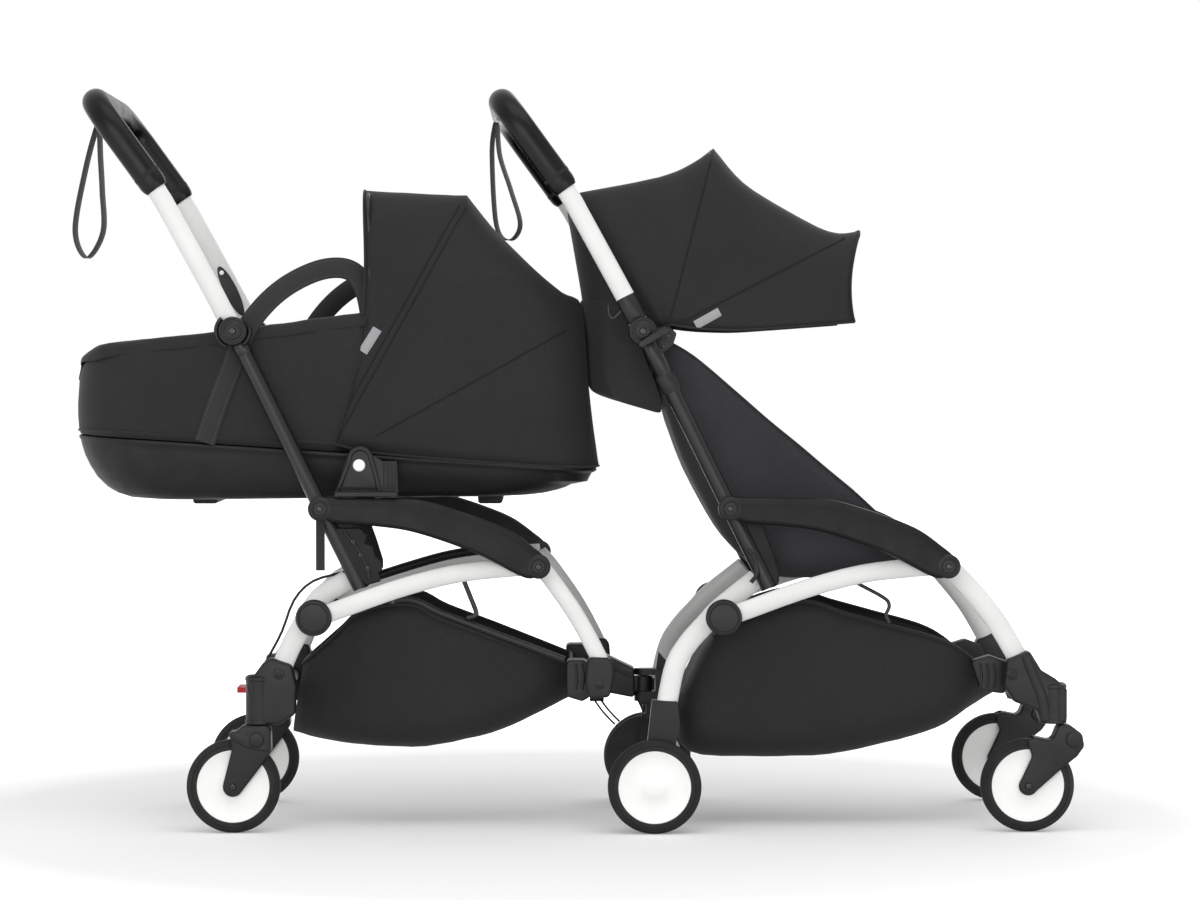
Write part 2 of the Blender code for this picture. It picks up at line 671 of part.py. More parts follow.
def rear_axle_beam():
    """The front unit's rear axle: cross tube, leg sockets, wheel axles and the hitch bracket."""
    body = rod("seat_rear_axle_beam", 0.012, (0.117, -0.180, 0.152), (0.117, 0.180, 0.152), BLACK_PLASTIC)
    hub = (SEAT_REAR_WHEEL_X, WHEEL_R)
    cheek = [(0.099, 0.184), (0.134, 0.182), (0.138, 0.150), (0.128, 0.104)]
    cheek += arc(hub, 0.016, 0, -180, 8)
    cheek += [(0.092, 0.120)]
    extra = []
    for s in SIDES.values():
        extra.append(solid(plate("cheek", cheek, s * 0.1840, 0.022, BLACK_PLASTIC)))
        x, z = hub
        extra.append(rod("axle", AXLE_R, (x, s * 0.190, z), (x, s * 0.222, z), sides=16))
    extra.append(block("post", (0.108, -0.020, 0.1425), (0.127, 0.020, HITCH_HIGH_Z[1] - 0.0004)))
    lug = arc((HITCH_X, 0), HITCH_LUG_R, 90, 270, 10) + [(0.112, -HITCH_LUG_R), (0.112, HITCH_LUG_R)]
    extra += [slab("lug", lug, low, high) for low, high in (HITCH_LOW_Z, HITCH_HIGH_Z)]
    brace = [(0.082, 0.1675), (0.112, 0.1675), (0.112, 0.1410), (0.094, 0.1410)]
    brace_hole = [(0.090, 0.148), (0.095, 0.148), (0.095, 0.161), (0.090, 0.161)]
    fin = [(0.109, 0.2100), (0.113, 0.237), (0.124, 0.224), (0.1262, 0.2100)]
    web = solid(plate("brace", brace, 0, 0.012, BLACK_PLASTIC))
    web = cut(web, solid(plate("window", brace_hole, 0, 0.030, BLACK_PLASTIC)))
    extra += [web, solid(plate("fin", fin, 0, 0.010, BLACK_PLASTIC))]
    pin_ends = ((HITCH_X, 0, HITCH_LOW_Z[0] + 0.002), (HITCH_X, 0, HITCH_HIGH_Z[1] - 0.002))
    extra.append(rod("pin", HITCH_PIN_R - GAP, *pin_ends, sides=16))
    hang(sockets(join(body, *extra), SEAT_FRAME, SEAT_HIND), SEAT_FRAME)


def rear_wheels():
    for label, s in SIDES.items():
        x, y = SEAT_REAR_WHEEL_X, s * REAR_WHEEL_Y
        axis = axis_at(f"seat_rear_spin_{label}", x, y, WHEEL_R, SEAT_FRAME)
        wheel(f"seat_rear_wheel_{label}", SEAT_FRAME, axis, x, y)


# Cloth of the front unit


def sling():
    """The sling seat: back, base and side wings in one skin."""
    stations = [
        ((0.116, 0.6860), (0.099, 0.676), 0.151),
        ((0.158, 0.661), (0.115, 0.605), 0.152),
        ((0.215, 0.613), (0.139, 0.532), 0.153),
        ((0.262, 0.572), (0.170, 0.465), 0.153),
        ((0.305, 0.537), (0.202, 0.402), 0.153),
        ((0.345, 0.503), (0.245, 0.368), 0.153),
        ((0.385, 0.470), (0.320, 0.358), 0.153),
        ((0.420, 0.438), (0.390, 0.360), 0.153),
        ((0.446, 0.420), (0.444, 0.372), 0.153),
    ]
    hang(trough("seat_sling", stations, 0.035, 0.005, FABRIC), SEAT_FRAME)


def front_roll():
    """The padded roll across the seat's front edge, crowned in the middle and drawn in at its ends."""
    middle = Vector((0.480, 0.379))
    swells = [(0, 1), (0.090, 0.98), (0.145, 0.86), (0.150, 0.55)]
    sections = []
    for y, swell in [(-y, swell) for y, swell in swells[:0:-1]] + swells:
        ring = []
        for i in range(12):
            angle = math.tau * i / 12
            reach = Vector((0.0265 * math.cos(angle), 0.031 * math.sin(angle))) * swell
            ring.append((middle.x + reach.x, y, middle.y + reach.y))
        sections.append(ring)
    hang(shell_from_sections("seat_front_roll", sections, FABRIC, True, (True, True)), SEAT_FRAME)


def rear_pocket():
    """The bag behind the seat back, rounded in plan."""
    levels = [
        (0.5960, 0.052, 0.096),
        (0.610, 0.026, 0.100),
        (0.632, 0.011, 0.096),
        (0.684, 0.008, 0.084),
        (0.741, 0.002, 0.060),
        (0.810, -0.010, 0.030),
        (0.868, -0.020, 0.004),
        (0.884, -0.018, -0.006),
    ]
    half = 0.142
    sections = []
    for z, rear, front in levels:
        bow = min(0.030, (front - rear) * 0.6)
        across = [half * (i / 4 - 1) for i in range(9)]
        ring = [(rear + bow * (y / half) ** 2, y, z) for y in across]
        ring += [(front, y * 0.96, z) for y in (half, 0, -half)]
        sections.append(ring)
    hang(shell_from_sections("seat_rear_pocket", sections, FABRIC, True, (True, True)), SEAT_FRAME)


def canopy():
    """The sun canopy, drawn up over its hoops and sagging between them."""
    stations = [
        ((0.112, 0.702), (0.002, 0.896), 0.158),
        ((0.118, 0.704), (0.062, 0.914), 0.161),
        ((0.126, 0.706), (0.123, 0.927), 0.163),
        ((0.140, 0.704), (0.160, 0.940), 0.164),
        ((0.155, 0.702), (0.187, 0.955), 0.165),
        ((0.180, 0.700), (0.230, 0.909), 0.163),
        ((0.225, 0.699), (0.291, 0.872), 0.162),
        ((0.275, 0.702), (0.336, 0.848), 0.163),
        ((0.330, 0.706), (0.364, 0.838), 0.164),
        ((0.384, 0.710), (0.392, 0.839), 0.165),
    ]
    hang(trough("canopy_fabric", stations, 0.050, 0.0018, FABRIC), SEAT_FRAME)
    axis = axis_at("canopy_axis", CANOPY_PIVOT[0], 0, CANOPY_PIVOT[1], SEAT_FRAME)
    arm = [CANOPY_PIVOT, (0.3825, 0.8310)]
    points = side(arm, -CANOPY_BOW_Y) + side(arm[::-1], CANOPY_BOW_Y)
    route = fillet(points, [0.060, 0.060])
    hang(tube("canopy_front_bow", route, 0.006, 0.006, BLACK_TUBE, resolution=1), SEAT_FRAME, axis)


def seat_basket():
    stations = [
        ((0.189, 0.268), (0.136, 0.172), 0.130),
        ((0.227, 0.294), (0.157, 0.110), 0.146),
        ((0.308, 0.319), (0.257, 0.101), 0.150),
        ((0.370, 0.302), (0.350, 0.110), 0.150),
        ((0.432, 0.285), (0.432, 0.128), 0.150),
        ((0.503, 0.265), (0.503, 0.147), 0.148),
        ((0.540, 0.245), (0.545, 0.169), 0.140),
        ((0.572, 0.214), (0.583, 0.184), 0.110),
    ]
    hang(trough("seat_basket", stations, 0.030, 0.002, FABRIC, ends=(True, True)), SEAT_FRAME)


def cot_basket():
    stations = [
        ((0.182, 0.226), (0.169, 0.137), 0.085),
        ((0.225, 0.268), (0.207, 0.128), 0.118),
        ((0.263, 0.306), (0.262, 0.121), 0.148),
        ((0.328, 0.315), (0.330, 0.118), 0.150),
        ((0.371, 0.304), (0.371, 0.122), 0.150),
        ((0.440, 0.283), (0.442, 0.135), 0.150),
        ((0.500, 0.266), (0.500, 0.157), 0.148),
        ((0.555, 0.248), (0.559, 0.181), 0.130),
    ]
    hang(trough("cot_basket", stations, 0.030, 0.002, FABRIC, ends=(True, True)), COT_FRAME)


# Carrycot, in the front chassis' side view

RIM = between(-0.711, 0.552, 0.027, 0.504)


def carrycot_tub(lift):
    levels = [
        (-0.606, -0.080, 0.118, between(-0.606, 0.4600, -0.080, 0.4655)),
        (-0.640, -0.066, 0.136, between(-0.640, 0.4630, -0.066, 0.4665)),
        (-0.672, -0.035, 0.150, between(-0.672, 0.478, -0.035, 0.472)),
        (-0.696, -0.008, 0.160, between(-0.696, 0.508, -0.008, 0.483)),
        (-0.707, 0.012, 0.166, between(-0.707, 0.536, 0.012, 0.495)),
        (-0.7095, 0.024, 0.168, RIM),
    ]
    rings = [plan_ring(x0, x1, half, half * 0.62, z) for x0, x1, half, z in levels]
    shell = shell_from_sections("carrycot_tub", rings, BLACK_PLASTIC, True, (True, False))
    tub = solid(thicken(shell, 0.003, -1))
    feet = [
        block("foot", (x, -0.080, 0.4535), (x + 0.036, 0.080, 0.4680)) for x in (-0.550, -0.146)
    ]
    hang(join(tub, *feet), SEAT_FRAME, lift)


def strap_loop(s, shift):
    """One carry loop: a webbing arch sewn to the cot's side at both feet."""
    line = [(-0.489, 0.640), (-0.462, 0.706), (-0.415, 0.757), (-0.354, 0.785)]
    line += [(-0.316, 0.770), (-0.300, 0.700), (-0.298, 0.574)]
    route = []
    for x, z in smooth(line, 2):
        share = min(1, max(0, (x + 0.460) / 0.110))
        route.append((x + shift, s * (0.1695 - 0.0215 * share), z))
    return solid(tube("loop", route, 0.026, 0.0030, WEBBING, resolution=1))


def carrycot_body(lift):
    """The cot's cloth walls, low under the hood, with the two carry loops sewn on."""

    def top(x):
        if x > -0.385:
            return 0.590
        return between(-0.700, 0.670, -0.372, 0.710)(x)

    def at(share):
        return lambda x: RIM(x) + 0.0015 + share * (top(x) - RIM(x) - 0.0015)

    levels = [
        (-0.7105, -0.016, 0.1690, 0.0),
        (-0.7115, -0.017, 0.1695, 0.5),
        (-0.7080, -0.018, 0.1690, 0.88),
        (-0.6980, -0.019, 0.1660, 1.0),
    ]
    rings = [
        plan_ring(x0, x1, half, 0.100, at(share), 4, half - 0.019, -0.385) for x0, x1, half, share in levels
    ]
    skin = shell_from_sections("carrycot_body", rings, FABRIC, True, (False, False))
    walls = solid(thicken(skin, 0.004, -1))
    hang(join(walls, strap_loop(-1, 0.0), strap_loop(1, 0.030)), SEAT_FRAME, lift)


def carrycot_apron(lift):
    """The cover over the foot end, domed and drawn down round its edge."""
    stations = [
        ((-0.7020, 0.6740), (-0.7010, 0.6760), 0.060),
        ((-0.6900, 0.6750), (-0.6880, 0.6840), 0.118),
        ((-0.6500, 0.6800), (-0.6480, 0.6920), 0.160),
        ((-0.560, 0.6910), (-0.559, 0.7030), 0.166),
        ((-0.470, 0.7020), (-0.469, 0.7150), 0.166),
        ((-0.376, 0.7130), (-0.375, 0.7260), 0.166),
    ]
    hang(trough("carrycot_apron", stations, 0.012, 0.0020, FABRIC), SEAT_FRAME, lift)


def carrycot_hood(lift):
    stations = [
        ((-0.344, 0.5420), (-0.304, 0.896), 0.164),
        ((-0.300, 0.5330), (-0.230, 0.895), 0.166),
        ((-0.240, 0.5290), (-0.160, 0.889), 0.167),
        ((-0.180, 0.5250), (-0.125, 0.843), 0.167),
        ((-0.110, 0.5205), (-0.088, 0.803), 0.166),
        ((-0.050, 0.5165), (-0.055, 0.771), 0.160),
        ((-0.014, 0.5145), (-0.026, 0.748), 0.144),
        ((0.006, 0.5130), (-0.012, 0.7300), 0.112),
    ]
    hood = trough("carrycot_hood", stations, 0.060, 0.0020, FABRIC, ends=(False, True), steps=4)
    hang(hood, SEAT_FRAME, lift)
    axis = axis_at("hood_axis", HOOD_PIVOT[0], 0, HOOD_PIVOT[1], SEAT_FRAME)
    tip = (-0.3000, 0.8880)
    foot = (-0.355, 0.560)
    points = side([foot, tip], -HOOD_BOW_Y) + side([tip, foot], HOOD_BOW_Y)
    route = fillet(points, [0.060, 0.060])
    hang(tube("hood_front_bow", route, 0.006, 0.006, BLACK_TUBE, resolution=1), SEAT_FRAME, axis)


def carrycot_cradle():
    """The two clips that hold the cot over the armrests, and the bar that joins them under it."""
    bar = rod("carrycot_cradle", 0.008, (-0.300, -0.176, 0.4545), (-0.300, 0.176, 0.4545), BLACK_PLASTIC)
    arch = [(-0.344, 0.4670), (-0.338, 0.485), (-0.326, 0.520)]
    arch += arc((-0.3070, 0.519), 0.018, 160, 20, 6)
    arch += [(-0.276, 0.5160), (-0.256, 0.5160), (-0.254, 0.4675), (-0.286, 0.4660), (-0.290, 0.4445)]
    arch += [(-0.310, 0.4445), (-0.314, 0.4660)]
    extra = []
    for s in SIDES.values():
        extra.append(solid(plate("clip", arch, s * 0.1790, 0.010, BLACK_PLASTIC)))
        low, high = sorted((s * 0.180, s * 0.216))
        extra.append(block("foot", (-0.340, low, 0.4685), (-0.256, high, 0.4740)))
    hang(join(bar, *extra), SEAT_FRAME)


# Brake cables, held at both ends


def brake_cables():
    low = [(0.0200, 0.1690), (0.0290, 0.1560), (0.0390, 0.1440), (0.0500, 0.1330)]
    upper = [(x + 0.007, z + 0.002) for x, z in low]
    thick = 0.0032
    first = solid(tube("brake_cable_pair", smooth(side(low, -0.012), 2), thick, thick, BLACK_PLASTIC, 1))
    second = solid(tube("second", smooth(side(upper, 0.012), 2), thick, thick, BLACK_PLASTIC, 1))
    clip = block("clip", (0.014, -0.016, 0.1665), (0.034, 0.016, 0.1710))
    hang(join(first, second, clip), SEAT_FRAME)
    loop = [(0.116, 0.2165), (0.133, 0.2454), (0.1498, 0.2776)]
    loop += [(0.1666, 0.321), (0.1932, 0.3476), (0.2366, 0.3602)]
    route = smooth(side(loop, -0.151), 3)
    hang(tube("brake_cable_loop", route, 0.0042, 0.0042, BLACK_PLASTIC, resolution=1), COT_FRAME)


def build():
    seat_fold = axis_at("seat_fold_axis", FOLD[0], 0, FOLD[1], SEAT_FRAME)
    cot_fold = axis_at("cot_fold_axis", FOLD[0], 0, FOLD[1], COT_FRAME)
    seat_drop = [(-0.1225, 0.9925), (-0.1265, 0.950), (-0.1200, 0.850), (-0.1000, 0.8300), (-0.0860, 0.852)]
    seat_drop += [(-0.0990, 0.900), (-0.1150, 0.950), (-0.1190, 0.9925)]
    cot_drop = [(-0.1255, 0.9915), (-0.1420, 0.930), (-0.1570, 0.8430), (-0.1400, 0.8040), (-0.1170, 0.8410)]
    cot_drop += [(-0.1180, 0.900), (-0.1205, 0.950), (-0.1220, 0.9915)]
    chassis("seat", SEAT_FRAME, seat_fold, seat_drop, SEAT_HIND, SEAT_FORE, True)
    chassis("cot", COT_FRAME, cot_fold, cot_drop, COT_HIND, COT_FORE, False)
    casters("seat", SEAT_FRAME, SEAT_SWIVEL_X, SEAT_CASTER_X, seat_fork_outline())
    casters("cot", COT_FRAME, COT_SWIVEL_X, COT_CASTER_X, cot_fork_outline())
    front_crossmember()
    rear_crossmember()
    rear_axle_beam()
    rear_wheels()
    hitch_beam()
    brake_pedal()
    sling()
    front_roll()
    rear_pocket()
    canopy()
    seat_basket()
    cot_basket()
    lift = axis_at("carrycot_lift_axis", -0.300, 0, 0.460, SEAT_FRAME)
    carrycot_tub(lift)
    carrycot_body(lift)
    carrycot_apron(lift)
    carrycot_hood(lift)
    carrycot_cradle()
    brake_cables()


build()
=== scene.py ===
"""The looks of a tandem folding pushchair: a carrycot unit hitched behind a unit with a sling seat."""

import math

import bmesh
import bpy
from mathutils import Matrix, Vector, noise
from mathutils.bvhtree import BVHTree
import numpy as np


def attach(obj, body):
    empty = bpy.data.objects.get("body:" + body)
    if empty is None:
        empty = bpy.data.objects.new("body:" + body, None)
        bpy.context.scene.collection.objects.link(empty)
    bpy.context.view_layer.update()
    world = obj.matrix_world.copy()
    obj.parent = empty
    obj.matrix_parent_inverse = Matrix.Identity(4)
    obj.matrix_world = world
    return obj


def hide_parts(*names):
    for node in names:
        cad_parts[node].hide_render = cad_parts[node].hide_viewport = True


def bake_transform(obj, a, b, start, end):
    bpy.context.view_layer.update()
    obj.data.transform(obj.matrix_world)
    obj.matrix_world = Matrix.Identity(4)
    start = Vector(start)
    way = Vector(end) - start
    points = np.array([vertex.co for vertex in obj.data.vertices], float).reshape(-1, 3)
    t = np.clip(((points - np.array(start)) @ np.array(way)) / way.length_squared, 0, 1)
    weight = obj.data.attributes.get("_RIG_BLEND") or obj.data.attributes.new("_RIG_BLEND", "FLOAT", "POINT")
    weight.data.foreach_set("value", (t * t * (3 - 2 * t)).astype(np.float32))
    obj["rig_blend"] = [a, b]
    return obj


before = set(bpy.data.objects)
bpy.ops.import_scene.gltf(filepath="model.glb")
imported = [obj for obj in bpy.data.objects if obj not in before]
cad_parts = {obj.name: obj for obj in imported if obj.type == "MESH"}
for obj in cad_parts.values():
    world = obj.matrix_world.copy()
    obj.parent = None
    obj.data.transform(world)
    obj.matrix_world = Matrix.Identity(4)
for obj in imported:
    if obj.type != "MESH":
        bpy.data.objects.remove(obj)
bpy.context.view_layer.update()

# Sizes in metres. Both units share one side view, and each has its own place along X
UNIT_PITCH = 0.568
SEAT_X = 0.013
COT_X = SEAT_X - UNIT_PITCH
SHIFT = {"seat": SEAT_X, "cot": COT_X}
SIDES = {"right": -1, "left": 1}

# Pivots in a unit's side view, as (X, Z)
FOLD = (0.086, 0.697)
ARM_BEND = (0.061, 0.746)
HIP = (0.207, 0.451)
FRONT_PIVOT = (0.509, 0.371)
REAR_PIVOT = (0.198, 0.3)
BACK_FOOT = (0.262, 0.34)
CANOPY_PIVOT_X = 0.11

# Lanes: how far each side piece lies from the middle plane
ARM_Y = 0.187
ARMREST_Y = 0.209
FOLD_HOUSING_Y = 0.1745
FOLD_BOLT_Y = 0.2096
REAR_PIVOT_Y = 0.2075
LEG_TOP_Y = 0.167
LEG_FOOT_Y = 0.187
CASTER_Y = 0.19
REAR_WHEEL_Y = 0.211

# Tubes, as depth in the side view and thickness across it
ARM_TUBE = (0.027, 0.018)
LEG_TUBE = (0.029, 0.016)
RAIL_TUBE = (0.026, 0.014)
GRIP_SIZE = (0.038, 0.026)
BACK_TUBE_D = 0.0222
CORNER_R = 0.055

WHEEL_R = 0.065
WHEEL_HALF = 0.013
WHEEL_X = {"seat": 0.622, "cot": 0.085}
SWIVEL_X = {"seat": 0.658, "cot": 0.12}
SEAT_REAR_WHEEL_X = 0.102
HITCH_PIN_X = 0.091
FORK_WIDTH = 0.037
FORK_SLOT = 0.029
AXLE_END = 0.0178

# Materials

SLOTS = {}


def linear(colour):
    """An sRGB hex value as linear light."""
    parts = [int(colour[i : i + 2], 16) / 255 for i in (0, 2, 4)]
    return (*[v / 12.92 if v <= 0.04045 else ((v + 0.055) / 1.055) ** 2.4 for v in parts], 1)


def add(tree, kind, links=None, **settings):
    """Adds a node with its settings; links gives each input a value or another node's output."""
    node = tree.nodes.new(kind)
    for name, value in settings.items():
        setattr(node, name, value)
    for name, value in (links or {}).items():
        if isinstance(value, bpy.types.NodeSocket):
            tree.links.new(value, node.inputs[name])
        else:
            node.inputs[name].default_value = value
    return node


def per_metre(size_mm):
    """How many cells of a pattern of this size lie in a metre."""
    return 1000 / size_mm


def wave_scale(period_mm):
    """The Wave node's scale for bands this far apart: it has 20 / tau bands per unit."""
    return math.tau / 20 * per_metre(period_mm)


def surface(name, slot, roughness, metallic=0.0, shine=0.3):
    """A material with its slot, its shader, and the place on the object that its patterns are drawn by."""
    SLOTS[name] = slot
    material = bpy.data.materials.new(name)
    material.use_nodes = True
    tree = material.node_tree
    shader = tree.nodes["Principled BSDF"]
    shader.inputs["Roughness"].default_value = roughness
    shader.inputs["Metallic"].default_value = metallic
    shader.inputs["Specular IOR Level"].default_value = shine
    return material, tree, shader, add(tree, "ShaderNodeTexCoord").outputs["Object"]


def hard_skin(name, slot, colours, gloss, grain, patch, relief, metallic=0.0, shine=0.3):
    """A hard skin: fine relief, and patches whose colour and gloss shift from new to worn.

    gloss is the roughness when new and when worn. grain is (mm, detail), where no detail means pebbles.
    patch is (mm, detail, where wear starts, where it is full), and relief is (strength, mm)."""
    material, tree, shader, place = surface(name, slot, gloss[0], metallic, shine)
    size, detail = grain
    if detail:
        links = {"Vector": place, "Scale": per_metre(size), "Detail": detail}
        fine = add(tree, "ShaderNodeTexNoise", links).outputs["Fac"]
    else:
        cells = add(tree, "ShaderNodeTexVoronoi", {"Vector": place, "Scale": per_metre(size)})
        fine = cells.outputs["Distance"]
    size, detail, low, high = patch
    links = {"Vector": place, "Scale": per_metre(size), "Detail": detail}
    wear = add(tree, "ShaderNodeTexNoise", links).outputs["Fac"]
    ends = {"From Min": low, "From Max": high, "To Min": gloss[0], "To Max": gloss[1]}
    rough = add(tree, "ShaderNodeMapRange", {"Value": wear, **ends})
    tint = {0: wear, "A": linear(colours[0]), "B": linear(colours[1])}
    paint = add(tree, "ShaderNodeMix", tint, data_type="RGBA")
    links = {"Strength": relief[0], "Distance": relief[1] / 1000, "Height": fine}
    bump = add(tree, "ShaderNodeBump", links, invert=not grain[1])
    tree.links.new(paint.outputs[2], shader.inputs["Base Color"])
    tree.links.new(rough.outputs["Result"], shader.inputs["Roughness"])
    tree.links.new(bump.outputs["Normal"], shader.inputs["Normal"])
    return material


def powder_coat(slot, colours, roughness, shine=0.3):
    """Polyester powder baked on aluminium: a hard skin with an orange peel of 1.5 mm, dulled in places."""
    name, gloss = f"{slot}_on_aluminium", (roughness - 0.05, roughness + 0.09)
    return hard_skin(name, slot, colours, gloss, (1.5, 1), (45, 4, 0.35, 0.75), (0.05, 0.4), shine=shine)


def moulded(name, slot, colours, roughness, grain_mm, relief_mm, shine=0.3):
    """Injection-moulded plastic: spark-eroded grain all over, rubbed a little smoother by hands."""
    gloss = (roughness + 0.08, roughness - 0.08)
    relief = (0.25, relief_mm)
    return hard_skin(name, slot, colours, gloss, (grain_mm, 2), (30, 5, 0.3, 0.75), relief, shine=shine)


def leathercloth(name, slot, colours):
    """Polyurethane leathercloth over foam: fine pebbles 1.4 mm across with a soft long highlight."""
    return hard_skin(name, slot, colours, (0.26, 0.38), (1.4, 0), (60, 3, 0.35, 0.7), (0.3, 0.2), shine=0.2)


def plated_steel(name, colours):
    """Plated steel: a dull metal with drawing lines of 0.5 mm and a passivation in clouds of 4 mm."""
    return hard_skin(name, "zinc_steel", colours, (0.28, 0.46), (0.5, 1), (4, 4, 0.3, 0.7), (0.1, 0.1), 1.0)


def woven(name, colours, thread_mm, sheen):
    """Plain-woven polyester: threads both ways, a few thick slubs, and a soft fade over a hand's width."""
    material, tree, shader, place = surface(name, "black_fabric", 0.78)
    shader.inputs["Sheen Weight"].default_value = sheen
    shader.inputs["Sheen Roughness"].default_value = 0.45
    threads = []
    for way in "XYZ":
        links = {"Vector": place, "Scale": wave_scale(2 * thread_mm), "Distortion": 0.4, "Detail": 1}
        threads.append(add(tree, "ShaderNodeTexWave", links, bands_direction=way).outputs["Fac"])
    pair = add(tree, "ShaderNodeMath", {0: threads[0], 1: threads[1]}, operation="MULTIPLY")
    weave = add(tree, "ShaderNodeMath", {0: pair.outputs[0], 1: threads[2]}, operation="ADD")
    slubs = add(tree, "ShaderNodeTexNoise", {"Vector": place, "Scale": per_metre(3), "Detail": 3})
    fade = add(tree, "ShaderNodeTexNoise", {"Vector": place, "Scale": per_metre(110), "Detail": 2})
    both = {0: slubs.outputs["Fac"], 1: fade.outputs["Fac"]}
    mixed = add(tree, "ShaderNodeMath", both, operation="MULTIPLY")
    spread = {"Value": mixed.outputs[0], "From Min": 0.12, "From Max": 0.42}
    share = add(tree, "ShaderNodeMapRange", spread)
    tint = {0: share.outputs["Result"], "A": linear(colours[0]), "B": linear(colours[1])}
    dyed = add(tree, "ShaderNodeMix", tint, data_type="RGBA")
    relief = add(tree, "ShaderNodeBump", {"Strength": 0.35, "Distance": 0.0002, "Height": weave.outputs[0]})
    tree.links.new(dyed.outputs[2], shader.inputs["Base Color"])
    tree.links.new(relief.outputs["Normal"], shader.inputs["Normal"])
    return material


def webbing(name, slot, colours, rib_mm, stitch_colour=None):
    """Narrow-woven tape: ribs across it by the distance along it, and a stitch line near each edge."""
    material, tree, shader, _ = surface(name, slot, 0.7)
    shader.inputs["Sheen Weight"].default_value = 0.15
    chart = add(tree, "ShaderNodeUVMap", uv_map="tape").outputs["UV"]
    ribs = add(tree, "ShaderNodeTexWave", {"Vector": chart, "Scale": wave_scale(rib_mm)}, bands_direction="X")
    tint = {0: ribs.outputs["Fac"], "A": linear(colours[0]), "B": linear(colours[1])}
    paint = add(tree, "ShaderNodeMix", tint, data_type="RGBA").outputs[2]
    worn = add(tree, "ShaderNodeTexNoise", {"Vector": chart, "Scale": per_metre(12), "Detail": 4})
    height = add(tree, "ShaderNodeMath", {0: ribs.outputs["Fac"], 1: worn.outputs["Fac"]}, operation="ADD")
    relief = add(tree, "ShaderNodeBump", {"Strength": 0.4, "Distance": 0.0003, "Height": height.outputs[0]})
    if stitch_colour:
        # Stitches 3.5 mm long with 1.5 mm between them, in two lines that V measures from 0 to 1 across
        split = add(tree, "ShaderNodeSeparateXYZ", {"Vector": chart})
        off = add(tree, "ShaderNodeMath", {0: split.outputs["Y"], 1: 0.5}, operation="SUBTRACT")
        edge = add(tree, "ShaderNodeMath", {0: off.outputs[0]}, operation="ABSOLUTE")
        line = add(tree, "ShaderNodeMath", {0: edge.outputs[0], 1: 0.36, 2: 0.045}, operation="COMPARE")
        step = add(tree, "ShaderNodeMath", {0: split.outputs["X"], 1: 0.005}, operation="MODULO")
        dash = add(tree, "ShaderNodeMath", {0: step.outputs[0], 1: 0.0035}, operation="LESS_THAN")
        sewn = add(tree, "ShaderNodeMath", {0: line.outputs[0], 1: dash.outputs[0]}, operation="MULTIPLY")
        tint = {0: sewn.outputs[0], "A": paint, "B": linear(stitch_colour)}
        paint = add(tree, "ShaderNodeMix", tint, data_type="RGBA").outputs[2]
    tree.links.new(paint, shader.inputs["Base Color"])
    tree.links.new(relief.outputs["Normal"], shader.inputs["Normal"])
    return material


BLACK = "black_plastic"
WHITE_COAT = powder_coat("white_powder_coat", ("E4E4E3", "D8D8D6"), 0.34)
BLACK_COAT = powder_coat("black_powder_coat", ("121214", "19191B"), 0.33, 0.35)
BLACK_NYLON = moulded("black_moulded_nylon", BLACK, ("121214", "1A1A1C"), 0.44, 0.9, 0.06)
TUB_PLASTIC = moulded("black_moulded_polypropylene", BLACK, ("070708", "0D0D0E"), 0.56, 1.2, 0.08)
BLADE_NYLON = moulded("black_glass_filled_nylon", BLACK, ("0A0A0C", "111113"), 0.46, 0.8, 0.05, 0.2)
WHITE_DISC = moulded("white_moulded_polypropylene", "white_plastic", ("F8F8F6", "EFEFEC"), 0.42, 1.0, 0.03)
RED_NYLON = moulded("red_moulded_nylon", "red_plastic", ("C4222B", "A81D26"), 0.42, 0.9, 0.05)
TYRE = moulded("black_foamed_rubber", "tyre", ("161617", "1F1F20"), 0.66, 0.8, 0.05)
GRIP_SKIN = leathercloth("black_leathercloth_over_foam", "grip_foam", ("060607", "0E0E10"))
HOOD_CLOTH = woven("black_woven_canopy_polyester", ("18181A", "202022"), 0.6, 0.05)
BAG_CLOTH = woven("black_woven_bag_polyester", ("19191B", "212123"), 0.8, 0.08)
SEAT_CLOTH = woven("black_woven_seat_polyester", ("222225", "2D2D30"), 0.7, 0.12)
PIPING = woven("black_cord_piping", ("161618", "232325"), 0.5, 0.1)
SEAM = woven("black_sewn_seam", ("070708", "0C0C0D"), 0.5, 0.0)
STRAP_BLACK = webbing("black_narrow_woven_webbing", "black_webbing", ("1A1A1C", "262628"), 1.6, "2E2E31")
STRAP_GREY = webbing("dark_grey_narrow_woven_webbing", "black_webbing", ("3A3A3C", "4C4C4E"), 1.4)
TAG_GREY = webbing("grey_woven_tag", "grey_fabric", ("8E8E90", "A2A2A4"), 1.0)
STEEL = plated_steel("zinc_plated_steel", ("B4B8BE", "8C9096"))
DARK_STEEL = plated_steel("black_zinc_plated_steel", ("4A4B4E", "2C2C2F"))

# Lines


def smooth(points, per_span=8, cyclic=False):
    """Points on a Catmull-Rom curve through the given ones."""
    points = [Vector(p) for p in points]
    count = len(points)
    found = []
    for i in range(count if cyclic else count - 1):
        if cyclic:
            p0, p1, p2, p3 = (points[(i + k) % count] for k in (-1, 0, 1, 2))
        else:
            p1, p2 = points[i], points[i + 1]
            p0 = points[i - 1] if i else p1 * 2 - p2
            p3 = points[i + 2] if i + 2 < count else p2 * 2 - p1
        for step in range(per_span):
            t = step / per_span
            bend = (p0 * 2 - p1 * 5 + p2 * 4 - p3) * t**2 + (p1 * 3 - p0 - p2 * 3 + p3) * t**3
            found.append((p1 * 2 + (p2 - p0) * t + bend) / 2)
    return found if cyclic else [*found, points[-1]]


